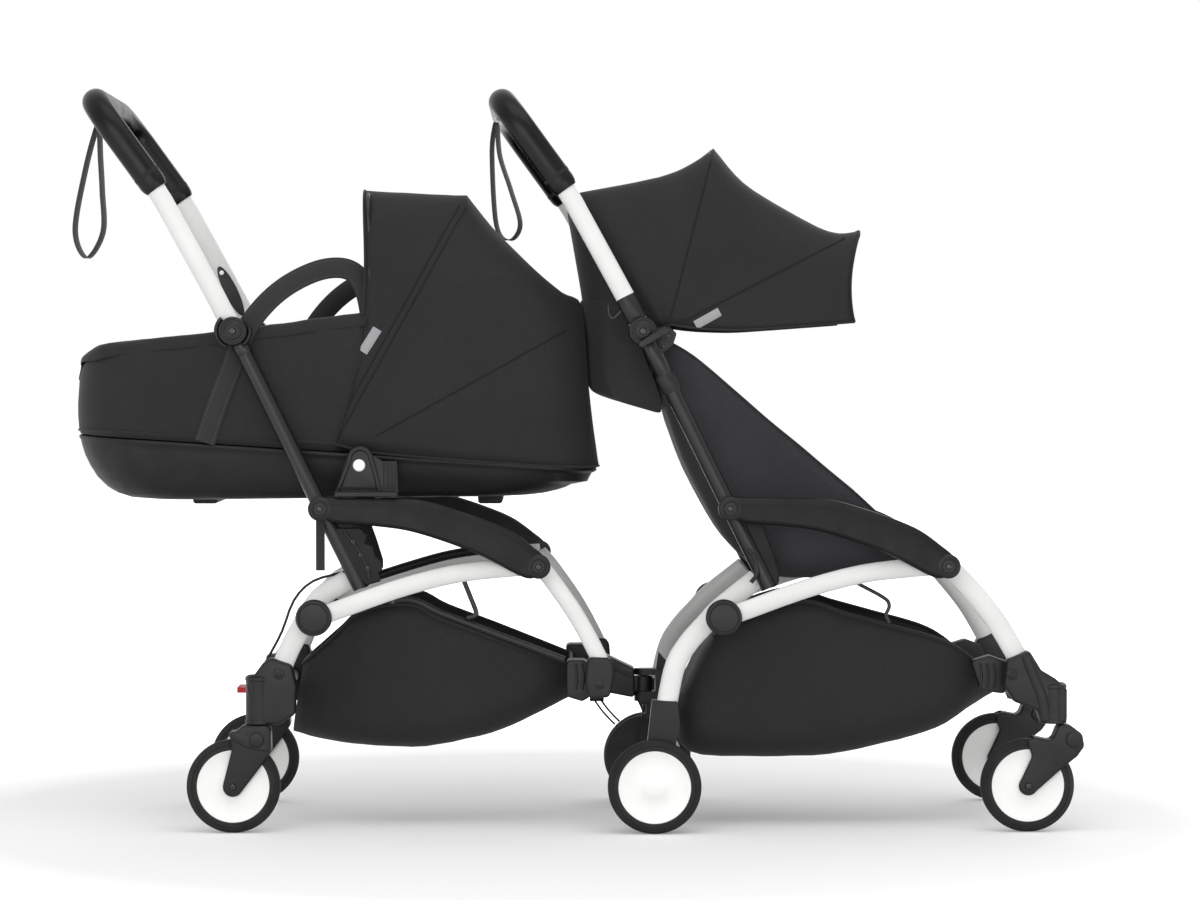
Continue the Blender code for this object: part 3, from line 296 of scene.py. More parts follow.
def fillet(points, radii, step=6):
    """A route with each inner corner rounded to its own radius, in steps of that many degrees."""
    points = [Vector(p) for p in points]
    route = [points[0]]
    for before, corner, after, radius in zip(points, points[1:], points[2:], radii):
        into = (before - corner).normalized()
        out = (after - corner).normalized()
        half = into.angle(out) / 2
        centre = corner + (into + out).normalized() * (radius / math.sin(half))
        start = corner + into * (radius / math.tan(half)) - centre
        end = corner + out * (radius / math.tan(half)) - centre
        sweep = start.angle(end)
        count = max(1, round(math.degrees(sweep) / step))
        for i in range(count + 1):
            t = i / count
            a, b = math.sin((1 - t) * sweep) / math.sin(sweep), math.sin(t * sweep) / math.sin(sweep)
            route.append(centre + start * a + end * b)
    return [*route, points[-1]]


def even(points, count):
    """The same line as `count` steps of one length."""
    points = [Vector(p) for p in points]
    reach = [0.0]
    for a, b in zip(points, points[1:]):
        reach.append(reach[-1] + (b - a).length)
    found = []
    k = 0
    for i in range(count + 1):
        want = reach[-1] * i / count
        while k < len(points) - 2 and reach[k + 1] < want:
            k += 1
        share = (want - reach[k]) / max(reach[k + 1] - reach[k], 1e-9)
        found.append(points[k].lerp(points[k + 1], min(1, share)))
    return found


def along(start, end, distance):
    """The point of the side view `distance` from start towards end."""
    way = (Vector(end) - Vector(start)).normalized()
    return tuple(Vector(start) + way * distance)


def arc(centre, radius, start, end, steps=16):
    """Points of an arc in the side view, angles in degrees from +X towards +Z."""
    angles = [math.radians(start + (end - start) * i / steps) for i in range(steps + 1)]
    return [(centre[0] + radius * math.cos(a), centre[1] + radius * math.sin(a)) for a in angles]


def side(points, y, shift=0.0):
    """Points of the side view at a lane, moved along X by shift."""
    return [Vector((p[0] + shift, y, p[1])) for p in points]


def clamped(share):
    """A share kept within 0 and 1."""
    return min(1, max(0, share))


def share_of(value, start, end):
    """How far a value lies from start to end, kept within 0 and 1."""
    return clamped((value - start) / (end - start))


def soft_corners(outline, radius, step=15):
    """A closed outline of the side view with its corners rounded."""
    nearly_straight = 1.48
    points = [Vector(p) for p in outline]
    found = []
    for before, corner, after in zip([points[-1], *points], points, [*points[1:], points[0]]):
        into, out = before - corner, after - corner
        half = into.angle(out) / 2
        if half > nearly_straight:
            found.append(tuple(corner))
            continue
        reach = min(0.45 * min(into.length, out.length), radius / math.tan(half))
        start = corner + into.normalized() * reach
        end = corner + out.normalized() * reach
        steps = max(2, round(math.degrees(math.pi - 2 * half) / step))
        for i in range(steps + 1):
            t = i / steps
            found.append(tuple(start * (1 - t) ** 2 + corner * (2 * t * (1 - t)) + end * t**2))
    return found


# Pieces


def placed(obj, body=None, node=None, slot=None):
    """Hangs a piece on the body that it rides on and hides the CAD node that it stands for. Its slot is
    looked up but not given to it.
    """
    slot = slot or SLOTS.get(obj.data.materials[0].name)
    if body:
        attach(obj, body)
    if node:
        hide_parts(node)
    return obj


def shaded(mesh, sharp):
    """Smooth shading, but for edges sharper than that many degrees."""
    mesh.shade_smooth()
    mesh.set_sharp_from_angle(angle=math.radians(sharp))


def piece(name, points, faces, material, chart=None, sharp=35):
    """A mesh piece. The chart gives each point its place along and across a tape."""
    mesh = bpy.data.meshes.new(name)
    mesh.from_pydata([tuple(p) for p in points], [], faces)
    mesh.validate()
    mesh.materials.append(material)
    shaded(mesh, sharp)
    if chart:
        places = mesh.uv_layers.new(name="tape").data
        for loop in mesh.loops:
            places[loop.index].uv = chart[loop.vertex_index]
    obj = bpy.data.objects.new(name, mesh)
    bpy.context.scene.collection.objects.link(obj)
    return obj


def loft(
    name, rings, material, body=None, node=None, slot=None,
    closed=True, caps=(True, True), chart=None, sharp=35,
):
    """A skin over rings of points, its ends filled where caps says so."""
    count = len(rings[0])
    points = [p for ring in rings for p in ring]
    faces = []
    for i in range(len(rings) - 1):
        for k in range(count if closed else count - 1):
            n = (k + 1) % count
            faces.append((i * count + k, i * count + n, (i + 1) * count + n, (i + 1) * count + k))
    if caps[0]:
        faces.append(tuple(range(count))[::-1])
    if caps[1]:
        faces.append(tuple(range(len(points) - count, len(points))))
    obj = piece(name, points, faces, material, chart, sharp)
    shell = bmesh.new()
    shell.from_mesh(obj.data)
    bmesh.ops.remove_doubles(shell, verts=shell.verts, dist=1e-6)
    bmesh.ops.recalc_face_normals(shell, faces=shell.faces)
    shell.to_mesh(obj.data)
    shell.free()
    return placed(obj, body, node, slot)


def ways_round(line, i, loop):
    """The direction of a line at its point i."""
    count = len(line)
    ahead = line[(i + 1) % count] if loop or i + 1 < count else line[i % count]
    behind = line[(i - 1) % count] if loop or i else line[i % count]
    return (ahead - behind).normalized()


def swept(name, route, size, material, body=None, node=None, swell=None, sides=24, loop=False, slot=None):
    """A tube along a route, size (depth in the side view, thickness across it); swell(share) widens it."""
    width, thick = size
    flat = thick / width
    line = [Vector((x, y / flat, z)) for x, y, z in route]
    rings = []
    normal = None
    for i, point in enumerate(line):
        tangent = ways_round(line, i, loop)
        normal = normal or tangent.orthogonal()
        normal = (normal - tangent * normal.dot(tangent)).normalized()
        across = tangent.cross(normal)
        radius = width / 2 * (swell(i / (len(line) - 1)) if swell else 1)
        ring = []
        for k in range(sides):
            angle = math.tau * k / sides
            p = point + (normal * math.cos(angle) + across * math.sin(angle)) * radius
            ring.append(Vector((p.x, p.y * flat, p.z)))
        rings.append(ring)
    if loop:
        rings.append(rings[0])
    return loft(name, rings, material, body, node, caps=(not loop, not loop), sharp=50, slot=slot)


def strap(name, route, across, size, material, body=None, node=None, loop=False):
    """Flat tape along a route, size (width, thickness); across is its width's way, or one for each point."""
    width, thick = size
    line = [Vector(p) for p in route]
    count = len(line)
    ways = across if isinstance(across, list) else [Vector(across)] * count
    rings, chart = [], []
    reach = 0.0
    profile = [(-0.5, 0), (-0.44, 0.5), (0, 0.56), (0.44, 0.5), (0.5, 0), (0.44, -0.5), (-0.44, -0.5)]
    for i in range(count + 1 if loop else count):
        point = line[i % count]
        tangent = ways_round(line, i, loop)
        way = ways[i % count] - tangent * ways[i % count].dot(tangent)
        way.normalize()
        up = tangent.cross(way)
        if i:
            reach += (point - line[i - 1]).length
        rings.append([point + way * (a * width) + up * (b * thick) for a, b in profile])
        chart += [(reach, a + 0.5) for a, _ in profile]
    return loft(name, rings, material, body, node, caps=(not loop, not loop), chart=chart, sharp=60)


def turned(name, profile, centre, axis, material, body=None, node=None, steps=48, hollow=False):
    """A turned piece about an axis through centre; the profile is (radius, distance along the axis)."""
    profile = [*profile, profile[0]] if hollow else profile
    axis = Vector(axis).normalized()
    first = axis.orthogonal().normalized()
    second = axis.cross(first)
    rings = []
    for radius, offset in profile:
        ring = []
        for k in range(steps):
            angle = math.tau * k / steps
            reach = (first * math.cos(angle) + second * math.sin(angle)) * max(radius, 1e-5)
            ring.append(Vector(centre) + axis * offset + reach)
        rings.append(ring)
    return loft(name, rings, material, body, node, caps=(not hollow, not hollow))


def moulding(name, outline, corner, y, size, body, shift=0.0, material=BLACK_NYLON, node=None):
    """A flat moulding of the side view on the lane y, with rounded corners; size is (thickness, edge)."""
    outline = soft_corners(outline, corner) if corner else outline
    thick, edge = size
    data = bpy.data.curves.new(name, "CURVE")
    data.dimensions = "2D"
    data.fill_mode = "BOTH"
    data.extrude = thick / 2 - edge
    data.bevel_depth = edge
    data.bevel_resolution = 3
    data.offset = -edge
    spline = data.splines.new("POLY")
    spline.points.add(len(outline) - 1)
    for point, place in zip(spline.points, outline):
        point.co = (place[0], place[1], 0, 1)
    spline.use_cyclic_u = True
    pattern = bpy.data.objects.new(name, data)
    shell = bmesh.new()
    shell.from_mesh(pattern.to_mesh())
    bpy.data.objects.remove(pattern)
    bmesh.ops.remove_doubles(shell, verts=shell.verts, dist=1e-6)
    bmesh.ops.rotate(shell, verts=shell.verts, matrix=Matrix.Rotation(math.pi / 2, 3, "X"))
    bmesh.ops.translate(shell, verts=shell.verts, vec=(shift, y, 0))
    bmesh.ops.recalc_face_normals(shell, faces=shell.faces)
    mesh = bpy.data.meshes.new(name)
    shell.to_mesh(mesh)
    shell.free()
    mesh.materials.clear()
    mesh.materials.append(material)
    shaded(mesh, 40)
    obj = bpy.data.objects.new(name, mesh)
    bpy.context.scene.collection.objects.link(obj)
    return placed(obj, body, node)


def evaluated(obj):
    """The mesh of a piece with its modifiers applied, which are then gone."""
    bpy.context.view_layer.update()
    graph = bpy.context.evaluated_depsgraph_get()
    mesh = bpy.data.meshes.new_from_object(obj.evaluated_get(graph))
    obj.modifiers.clear()
    obj.data = mesh
    return mesh


def over_wheel(name, outline, corner, size, unit, label, node=None):
    """A moulding that straddles a caster wheel, with the room for the wheel cut out of it."""
    y = SIDES[label] * CASTER_Y
    part = moulding(name, outline, corner, y, size, None, SHIFT[unit])
    radius = WHEEL_R + 0.003
    room = [(radius, -FORK_SLOT / 2), (radius, FORK_SLOT / 2)]
    centre = (WHEEL_X[unit] + SHIFT[unit], y, WHEEL_R)
    cutter = turned("room", room, centre, (0, 1, 0), BLACK_NYLON, steps=96)
    change = part.modifiers.new("room", "BOOLEAN")
    change.object = cutter
    change.solver = "EXACT"
    shaded(evaluated(part), 40)
    bpy.data.objects.remove(cutter)
    return placed(part, f"{unit}_caster_{label}", node)


def wire(name, points, y, shift, size, body, material=BLACK_NYLON, sides=12):
    """A rib, rail or bent wire along a smooth line of the side view, at one lane."""
    return swept(name, smooth(side(points, y, shift)), size, material, body, sides=sides)


def sleeve(name, end, stops, y, size, narrow, material, body, shift):
    """A sleeve round the tube from the fold pivot to end, at four stops along it, narrower at both ends."""
    line = side([along(FOLD, end, d) for d in stops], y, shift)
    sizes = [narrow, 1.0, 1.0, narrow]
    return swept(name, line, size, material, body, swell=lambda share: sizes[round(share * 3)])


def bolt(name, centre, axis, radius, body):
    """A domed bolt head with its socket."""
    shape = [(1, 0), (1, 0.3), (0.8, 0.62), (0.5, 0.7), (0.42, 0.68), (0.4, 0.3), (0, 0.3)]
    profile = [(radius * a, radius * b) for a, b in shape]
    return turned(name, profile, centre, axis, DARK_STEEL, body, steps=24)


def finer(obj):
    """One subdivision, to round what is modelled coarsely."""
    change = obj.modifiers.new("rounder", "SUBSURF")
    change.levels = change.render_levels = 1


def wall(obj, thick, offset=-1.0):
    """Gives a cloth its thickness."""
    skin = obj.modifiers.new("thickness", "SOLIDIFY")
    skin.thickness = thick
    skin.offset = offset


def settled(obj, cap, voxel=0.005):
    """Fills a pad: Cloth blown up under pressure as wadding does, each point kept within cap of its start."""
    frames = 20
    scene = bpy.context.scene
    cut = obj.modifiers.new("even", "REMESH")
    cut.mode = "VOXEL"
    cut.voxel_size = voxel
    cloth = evaluated(obj)
    start = [v.co.copy() for v in cloth.vertices]
    change = obj.modifiers.new("filling", "CLOTH")
    change.settings.use_pressure = True
    change.settings.uniform_pressure_force = 4
    change.settings.effector_weights.gravity = 0
    change.point_cache.frame_end = frames
    for moment in range(1, frames + 1):
        scene.frame_set(moment)
    graph = bpy.context.evaluated_depsgraph_get()
    blown = [v.co.copy() for v in obj.evaluated_get(graph).data.vertices]
    obj.modifiers.clear()
    for vertex, was, now in zip(cloth.vertices, start, blown):
        moved = now - was
        if moved.length > cap:
            moved *= cap / moved.length
        vertex.co = was + moved
    scene.frame_set(1)
    cloth.shade_smooth()
    finer(obj)


# Cloth over hoops


def stations_between(stations, per_span, creases=()):
    """More stations on a smooth curve through the given ones, broken at the creases."""
    rows = [Vector((*edge, *keel, half)) for edge, keel, half in stations]
    stops = [0, *creases, len(rows) - 1]
    found = []
    for first, last in zip(stops, stops[1:]):
        bay = smooth(rows[first : last + 1], per_span)
        found += [(row, i / (len(bay) - 1)) for i, row in enumerate(bay)][: None if last == stops[-1] else -1]
    return found


def section(edge, keel, half, corner, counts):
    """One station's cloth as (point, way out): up one side, over and down the other."""
    edge, keel = Vector((edge[0], 0, edge[1])), Vector((keel[0], 0, keel[1]))
    depth = (keel - edge).length
    way = (keel - edge) / depth
    radius = min(corner, depth * 0.9, half * 0.9)
    straight, turn, top = counts
    line = [(((depth - radius) * i / straight, -half), (0, -1)) for i in range(straight)]
    for i in range(turn):
        a = math.pi / 2 * i / turn
        place = (depth - radius + radius * math.sin(a), -half + radius - radius * math.cos(a))
        line.append((place, (math.sin(a), -math.cos(a))))
    for i in range(top + 1):
        line.append(((depth, (half - radius) * (2 * i / top - 1)), (1, 0)))
    line += [((v, -y), (a, -b)) for (v, y), (a, b) in line[: straight + turn][::-1]]
    return [(edge + way * v + Vector((0, y, 0)), way * a + Vector((0, b, 0))) for (v, y), (a, b) in line]


def cloth_grid(rows, corner, counts, sag, wrinkle, shift):
    """Points of a cloth over its stations, drawn in by sag between the hoops and made uneven by wrinkle."""
    lumps, creases = 22, 55
    grid = []
    for row, share in rows:
        line = section(row[0:2], row[2:4], row[4], corner, counts)
        drawn = 4 * share * (1 - share)
        last = len(line) - 1
        ring = []
        for i, (point, out) in enumerate(line):
            free = min(1, 5 * min(i / last, 1 - i / last))
            uneven = noise.noise(point * lumps) + 0.5 * noise.noise(point * creases)
            push = -sag * drawn * free - wrinkle * (0.5 + 0.5 * drawn) * abs(uneven)
            ring.append(point + out.normalized() * push + Vector((shift, 0, 0)))
        grid.append(ring)
    return grid


def cloth_over(name, grid, material, thick, body=None, node=None, caps=(False, False), offset=-1.0):
    """A cloth through the points of a grid, with its thickness."""
    cloth = loft(name, grid, material, body, node, closed=False, caps=caps, sharp=60)
    wall(cloth, thick, offset)
    return cloth


def thrown(cloth, points, aim, lift=0.0008):
    """Where each point lands on a cloth when thrown along aim, just clear of it, and the way out there."""
    bpy.context.view_layer.update()
    tree = BVHTree.FromObject(cloth, bpy.context.evaluated_depsgraph_get())
    aim = Vector(aim).normalized()
    run_up = 0.6
    found = []
    for point in points:
        place, out, _, _ = tree.ray_cast(Vector(point) - aim * run_up, aim)
        if place is None:
            continue
        out = -out if out.dot(aim) > 0 else out
        found.append((place + out * lift, out))
    return found


def tape_on(name, cloth, points, aim, size, material, body=None):
    """Tape or a seam laid on a cloth along the points."""
    laid = thrown(cloth, points, aim, size[1] * 0.35)
    route = [place for place, _ in laid]
    ways = []
    for i, (_, out) in enumerate(laid):
        ahead = route[min(i + 1, len(route) - 1)]
        ways.append((ahead - route[max(i - 1, 0)]).cross(out).normalized())
    return strap(name, route, ways, size, material, body)


def piping(name, route, body=None, radius=0.0016, loop=False, slot=None):
    """A corded edge."""
    return swept(name, route, (2 * radius, 2 * radius), PIPING, body, sides=10, loop=loop, slot=slot)


# Camera, light and floor


def softbox(name, place, aim, size, power):
    """A rectangular area light, size (width, height) in metres, turned to the point aim."""
    light = bpy.data.lights.new(name, "AREA")
    light.shape = "RECTANGLE"
    light.size, light.size_y = size
    light.energy = power
    lamp = bpy.data.objects.new(name, light)
    lamp.location = place
    lamp.rotation_euler = (Vector(aim) - Vector(place)).to_track_quat("-Z", "Y").to_euler()
    bpy.context.scene.collection.objects.link(lamp)


def seen_straight(tree):
    """1 for what the camera sees straight, reflected or through glass, and 0 for light on the object."""
    path = add(tree, "ShaderNodeLightPath")
    shown = {0: path.outputs["Is Camera Ray"], 1: path.outputs["Is Glossy Ray"]}
    either = add(tree, "ShaderNodeMath", shown, operation="MAXIMUM")
    shown = {0: either.outputs[0], 1: path.outputs["Is Transmission Ray"]}
    return add(tree, "ShaderNodeMath", shown, operation="MAXIMUM").outputs[0]


def studio():
    """The reference camera, four softboxes, the white backdrop and the floor."""
    scene = bpy.context.scene
    data = bpy.data.cameras.new("camera")
    data.sensor_width = 36
    data.lens = 112.5
    data.clip_end = 60
    camera = bpy.data.objects.new("camera", data)
    camera.location = (-0.0216, -5.4, 0.65)
    camera.rotation_euler = (math.radians(90 - 1.298), 0, math.radians(-0.672))
    scene.collection.objects.link(camera)
    scene.camera = camera
    scene.view_settings.view_transform = "Standard"
    softbox("overhead_softbox", (0.2, -1.3, 3.2), (0, 0, 0.4), (3.2, 2.0), 30)
    softbox("front_softbox", (-1.2, -4.2, 1.3), (0, 0, 0.4), (2.8, 1.6), 42)
    softbox("low_softbox", (1.6, -4.0, 0.5), (0, 0, 0.3), (2.0, 0.8), 18)
    softbox("rear_softbox", (1.6, 3.0, 2.4), (0, 0, 0.5), (2.2, 1.6), 20)
    world = bpy.data.worlds.new("studio")
    scene.world = world
    world.use_nodes = True
    tree = world.node_tree
    backdrop = tree.nodes["Background"]
    level = add(tree, "ShaderNodeMapRange", {"Value": seen_straight(tree), "To Min": 0.74, "To Max": 1.0})
    tree.links.new(level.outputs["Result"], backdrop.inputs["Strength"])
    backdrop.inputs["Color"].default_value = (1, 1, 1, 1)
    span = 14.0
    corners = [(-span, -span, 0), (span, -span, 0), (span, span, 0), (-span, span, 0)]
    piece("floor", corners, [(0, 1, 2, 3)], white_floor())


def white_floor():
    """Matt white paper: seen straight or in a reflection it is pure white, and it keeps the shadow."""
    material, tree, shader, place = surface("matt_white_paper", None, 0.9)
    shader.inputs["Base Color"].default_value = linear("E6E6E6")
    # Far from the object the paper fades into the white backdrop
    far = add(tree, "ShaderNodeVectorMath", {0: place}, operation="LENGTH")
    fade = {"Value": far.outputs["Value"], "From Min": 0.85, "From Max": 1.7, "To Min": 0.16, "To Max": 1.0}
    glow = add(tree, "ShaderNodeMapRange", fade)
    level = add(tree, "ShaderNodeMath", {0: glow.outputs[0], 1: seen_straight(tree)}, operation="MULTIPLY")
    shader.inputs["Emission Color"].default_value = (1, 1, 1, 1)
    tree.links.new(level.outputs[0], shader.inputs["Emission Strength"])
    return material


def kept_node(name, material, edge=0.0012):
    """A CAD node that stays as it is: smooth curves, rounded edges and its own finish."""
    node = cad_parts[name]
    mesh = node.data
    for attribute in [a for a in mesh.attributes if a.name == "custom_normal"]:
        mesh.attributes.remove(attribute)
    mesh.materials.clear()
    mesh.materials.append(material)
    for face in mesh.polygons:
        face.use_smooth = True
    node.modifiers.new("joined", "WELD").merge_threshold = 1e-5
    if edge:
        rounded = node.modifiers.new("edges", "BEVEL")
        rounded.width = edge
        rounded.segments = 2
        rounded.limit_method = "ANGLE"
        rounded.angle_limit = math.radians(38)
        rounded.harden_normals = True


# Frame of one unit


def handle_route(shift, from_grip=False):
    """The push handle: up one arm, across and down the other."""
    arm = [along(FOLD, ARM_BEND, -0.01), ARM_BEND, (-0.02, 0.894), (-0.11, 1.018)]
    radii = [0.3, 0.3, CORNER_R]
    if from_grip:
        arm = arm[2:]
        radii = [CORNER_R]
    points = side(arm, -ARM_Y, shift) + side(arm[::-1], ARM_Y, shift)
    return fillet(points, radii + radii[::-1])


def handle(unit):
    """The tube, its padded grip, and on each arm's inner face the release panel with its white dot."""
    shift, body = SHIFT[unit], f"{unit}_handle"
    name, node = f"{unit}_handle_tube", f"{unit}_handlebar"
    swept(name, handle_route(shift), ARM_TUBE, WHITE_COAT, body, node, sides=32)
    steps = 120
    route = even(handle_route(shift, True), steps)

    def swell(share):
        end = min(share, 1 - share) * steps
        return 0.9 + 0.1 * min(1, end / 2) if end > 0.5 else 0.82

    swept(f"{unit}_grip_skin", route, GRIP_SIZE, GRIP_SKIN, body, f"{unit}_grip", swell, 32)
    ring_size = (0.0386, 0.0266)
    for end, spot in (("right", 4), ("left", -5)):
        name = f"{unit}_grip_stitched_ring_{end}"
        swept(name, route[spot : spot + 2], ring_size, PIPING, body, slot="black_webbing")
    aim = (Vector((0.02, 0.822)) - Vector((0.08, 0.7))).normalized()
    middle = Vector((0.0506, 0.76))
    panel = []
    for i in range(28):
        angle = math.tau * i / 28
        turn = aim * (0.0405 * math.cos(angle)) + Vector((-aim.y, aim.x)) * (0.0098 * math.sin(angle))
        panel.append(tuple(middle + turn))
    top = middle + aim * 0.03
    dome = [(0.0034, 0), (0.0034, 0.0004), (0.0022, 0.0008), (0, 0.0009)]
    for label, s in SIDES.items():
        inner = s * (ARM_Y - ARM_TUBE[1] / 2)
        moulding(f"{unit}_release_panel_{label}", panel, 0, inner, (0.005, 0.0012), body, shift)
        spot = (top.x + shift, inner - s * 0.0024, top.y)
        turned(f"{unit}_release_dot_{label}", dome, spot, (0, -s, 0), WHITE_DISC, body, steps=20)


WRIST_DROPS = {
    "seat": [
        *[(-0.1225, 0.9925), (-0.1265, 0.95), (-0.12, 0.85), (-0.1, 0.83), (-0.086, 0.852)],
        *[(-0.099, 0.9), (-0.115, 0.95), (-0.119, 0.9925)],
    ],
    "cot": [
        *[(-0.1255, 0.9915), (-0.142, 0.93), (-0.157, 0.843), (-0.14, 0.804), (-0.117, 0.841)],
        *[(-0.118, 0.9), (-0.1205, 0.95), (-0.122, 0.9915)],
    ],
}


def wrist_strap(unit):
    """A webbing loop that hangs turned a little, so that its flat side shows."""
    route = smooth(side(WRIST_DROPS[unit], 0, SHIFT[unit]), cyclic=True)
    size, node = (0.014, 0.0017), f"{unit}_wrist_strap"
    strap(f"{unit}_wrist_loop", route, (0.45, 0.9, 0), size, STRAP_GREY, f"{unit}_handle", node, True)


def fold_lock(unit, label, s):
    """The fold hinge: a round housing with its bolt, the sleeve under it, and its lever and clamp or ears."""
    shift, body = SHIFT[unit], f"{unit}_chassis"
    foot = (FOLD[0] + shift, s * FOLD_HOUSING_Y, FOLD[1])
    rim = [(0.0185, -0.002), (0.02, -0.0005), (0.02, 0.03), (0.0186, 0.0322), (0.016, 0.033)]
    rim += [(0.015, 0.0322), (0.0134, 0.0322), (0.0124, 0.0334), (0.007, 0.035), (0, 0.0355)]
    name, node = f"{unit}_fold_housing_{label}", f"{unit}_fold_lock_{label}"
    turned(name, rim, foot, (0, s, 0), BLACK_NYLON, body, node)
    bolt(f"{unit}_fold_bolt_{label}", (foot[0], s * FOLD_BOLT_Y, foot[2]), (0, s, 0), 0.005, body)
    stops, wide = {
        "seat": ((0.006, 0.008, 0.068, 0.07), 0.024),
        "cot": ((0.016, 0.018, 0.034, 0.036), 0.0245),
    }[unit]
    name = f"{unit}_hinge_sleeve_{label}"
    sleeve(name, HIP, stops, s * ARM_Y, (wide, wide), 0.9, BLACK_COAT, body, shift)
    if unit == "cot":
        for name, first, last in (("rear", 132, 246), ("front", -52, 12)):
            line = side(arc(FOLD, 0.0232, first, last, 14), s * 0.196, shift)
            swept(f"cot_fold_ear_{name}_{label}", line, (0.007, 0.013), BLACK_NYLON, body)
        return
    bar = [(0.078, 0.68), (0.083, 0.6725), (0.1175, 0.6925), (0.121, 0.701), (0.115, 0.704)]
    moulding(f"seat_fold_lever_{label}", bar, 0.004, s * 0.212, (0.007, 0.002), body, shift)
    clamp = [(0.098, 0.672), (0.112, 0.664), (0.128, 0.676), (0.134, 0.694), (0.124, 0.703), (0.106, 0.702)]
    moulding(f"canopy_clamp_{label}", clamp, 0.005, s * 0.167, (0.011, 0.002), body, shift)
    for i, (x, z) in enumerate(((0.1225, 0.6905), (0.115, 0.676))):
        bolt(f"canopy_clamp_rivet_{i}_{label}", (x + shift, s * 0.1725, z), (0, s, 0), 0.0024, body)


def arm_collar(label, s):
    """The black sleeve round the foot of the front unit's handle arm, with its wire hook."""
    name, stops, size = f"seat_arm_sleeve_{label}", (0.016, 0.018, 0.052, 0.054), (0.029, 0.02)
    sleeve(name, ARM_BEND, stops, s * ARM_Y, size, 0.92, BLACK_NYLON, "seat_handle", SEAT_X)
    bent = [(0.056, 0.725), (0.0448, 0.715), (0.0392, 0.721), (0.0378, 0.7335)]
    size = (0.0028, 0.0028)
    wire(f"seat_arm_hook_{label}", bent, s * 0.19, SEAT_X, size, "seat_handle", DARK_STEEL, 10)


def back_post(unit, label, s):
    """The satin black tube from the fold lock to its foot, its collar and its link plate."""
    shift, body = SHIFT[unit], f"{unit}_chassis"
    route = fillet(side([along(FOLD, HIP, 0.01), HIP, BACK_FOOT], s * ARM_Y, shift), [0.02])
    node = f"{unit}_back_tube_{label}"
    swept(f"{unit}_back_post_{label}", route, (BACK_TUBE_D, BACK_TUBE_D), BLACK_COAT, body, node)
    outline = [(0.197, 0.452), (0.199, 0.463), (0.206, 0.468), (0.216, 0.467), (0.224, 0.462), (0.24, 0.446)]
    outline += [(0.254, 0.425), (0.266, 0.392), (0.276, 0.36), (0.276, 0.349), (0.272, 0.342)]
    outline += [(0.258, 0.338), (0.25, 0.343), (0.246, 0.35)]
    size = (0.0128, 0.002)
    moulding(f"{unit}_link_plate_{label}", outline, 0.006, s * 0.1845, size, body, shift, BLADE_NYLON)
    if unit == "seat":
        stops, size = (0.066, 0.069, 0.091, 0.094), (0.0285, 0.0245)
        sleeve(f"seat_post_collar_{label}", HIP, stops, s * ARM_Y, size, 0.9, BLACK_NYLON, body, shift)


def right_side_details():
    """What only the right side has: a strap hook, and the rear unit's transport latch and hip strap."""
    bent = [(0.232, 0.395), (0.242, 0.38), (0.244, 0.36), (0.236, 0.348)]
    wire("seat_post_hook", bent, -0.2, SEAT_X, (0.006, 0.006), "seat_chassis")
    body = "cot_chassis"
    outline = [(0.226, 0.424), (0.262, 0.424), (0.27, 0.414), (0.266, 0.404), (0.278, 0.399), (0.281, 0.385)]
    outline += [(0.29, 0.378), (0.292, 0.366), (0.286, 0.36), (0.291, 0.35), (0.27, 0.344), (0.25, 0.366)]
    moulding("cot_transport_latch", outline, 0.003, -0.193, (0.007, 0.0015), body, COT_X, BLADE_NYLON)
    for i, (x, z) in enumerate(((0.252, 0.405), (0.262, 0.386), (0.272, 0.368))):
        bolt(f"cot_latch_rivet_{i}", (x + COT_X, -0.1962, z), (0, -1, 0), 0.0034, body)
    ridge = [(0.24, 0.418), (0.256, 0.398), (0.27, 0.372), (0.274, 0.354)]
    wire("cot_latch_rib", ridge, -0.1968, COT_X, (0.004, 0.003), body)
    hang = [Vector((0.2065 + COT_X, -0.1985, z)) for z in (0.448, 0.43, 0.41, 0.388, 0.365)]
    strap("cot_hip_strap", hang, (1, 0, 0), (0.0125, 0.002), STRAP_BLACK, body)


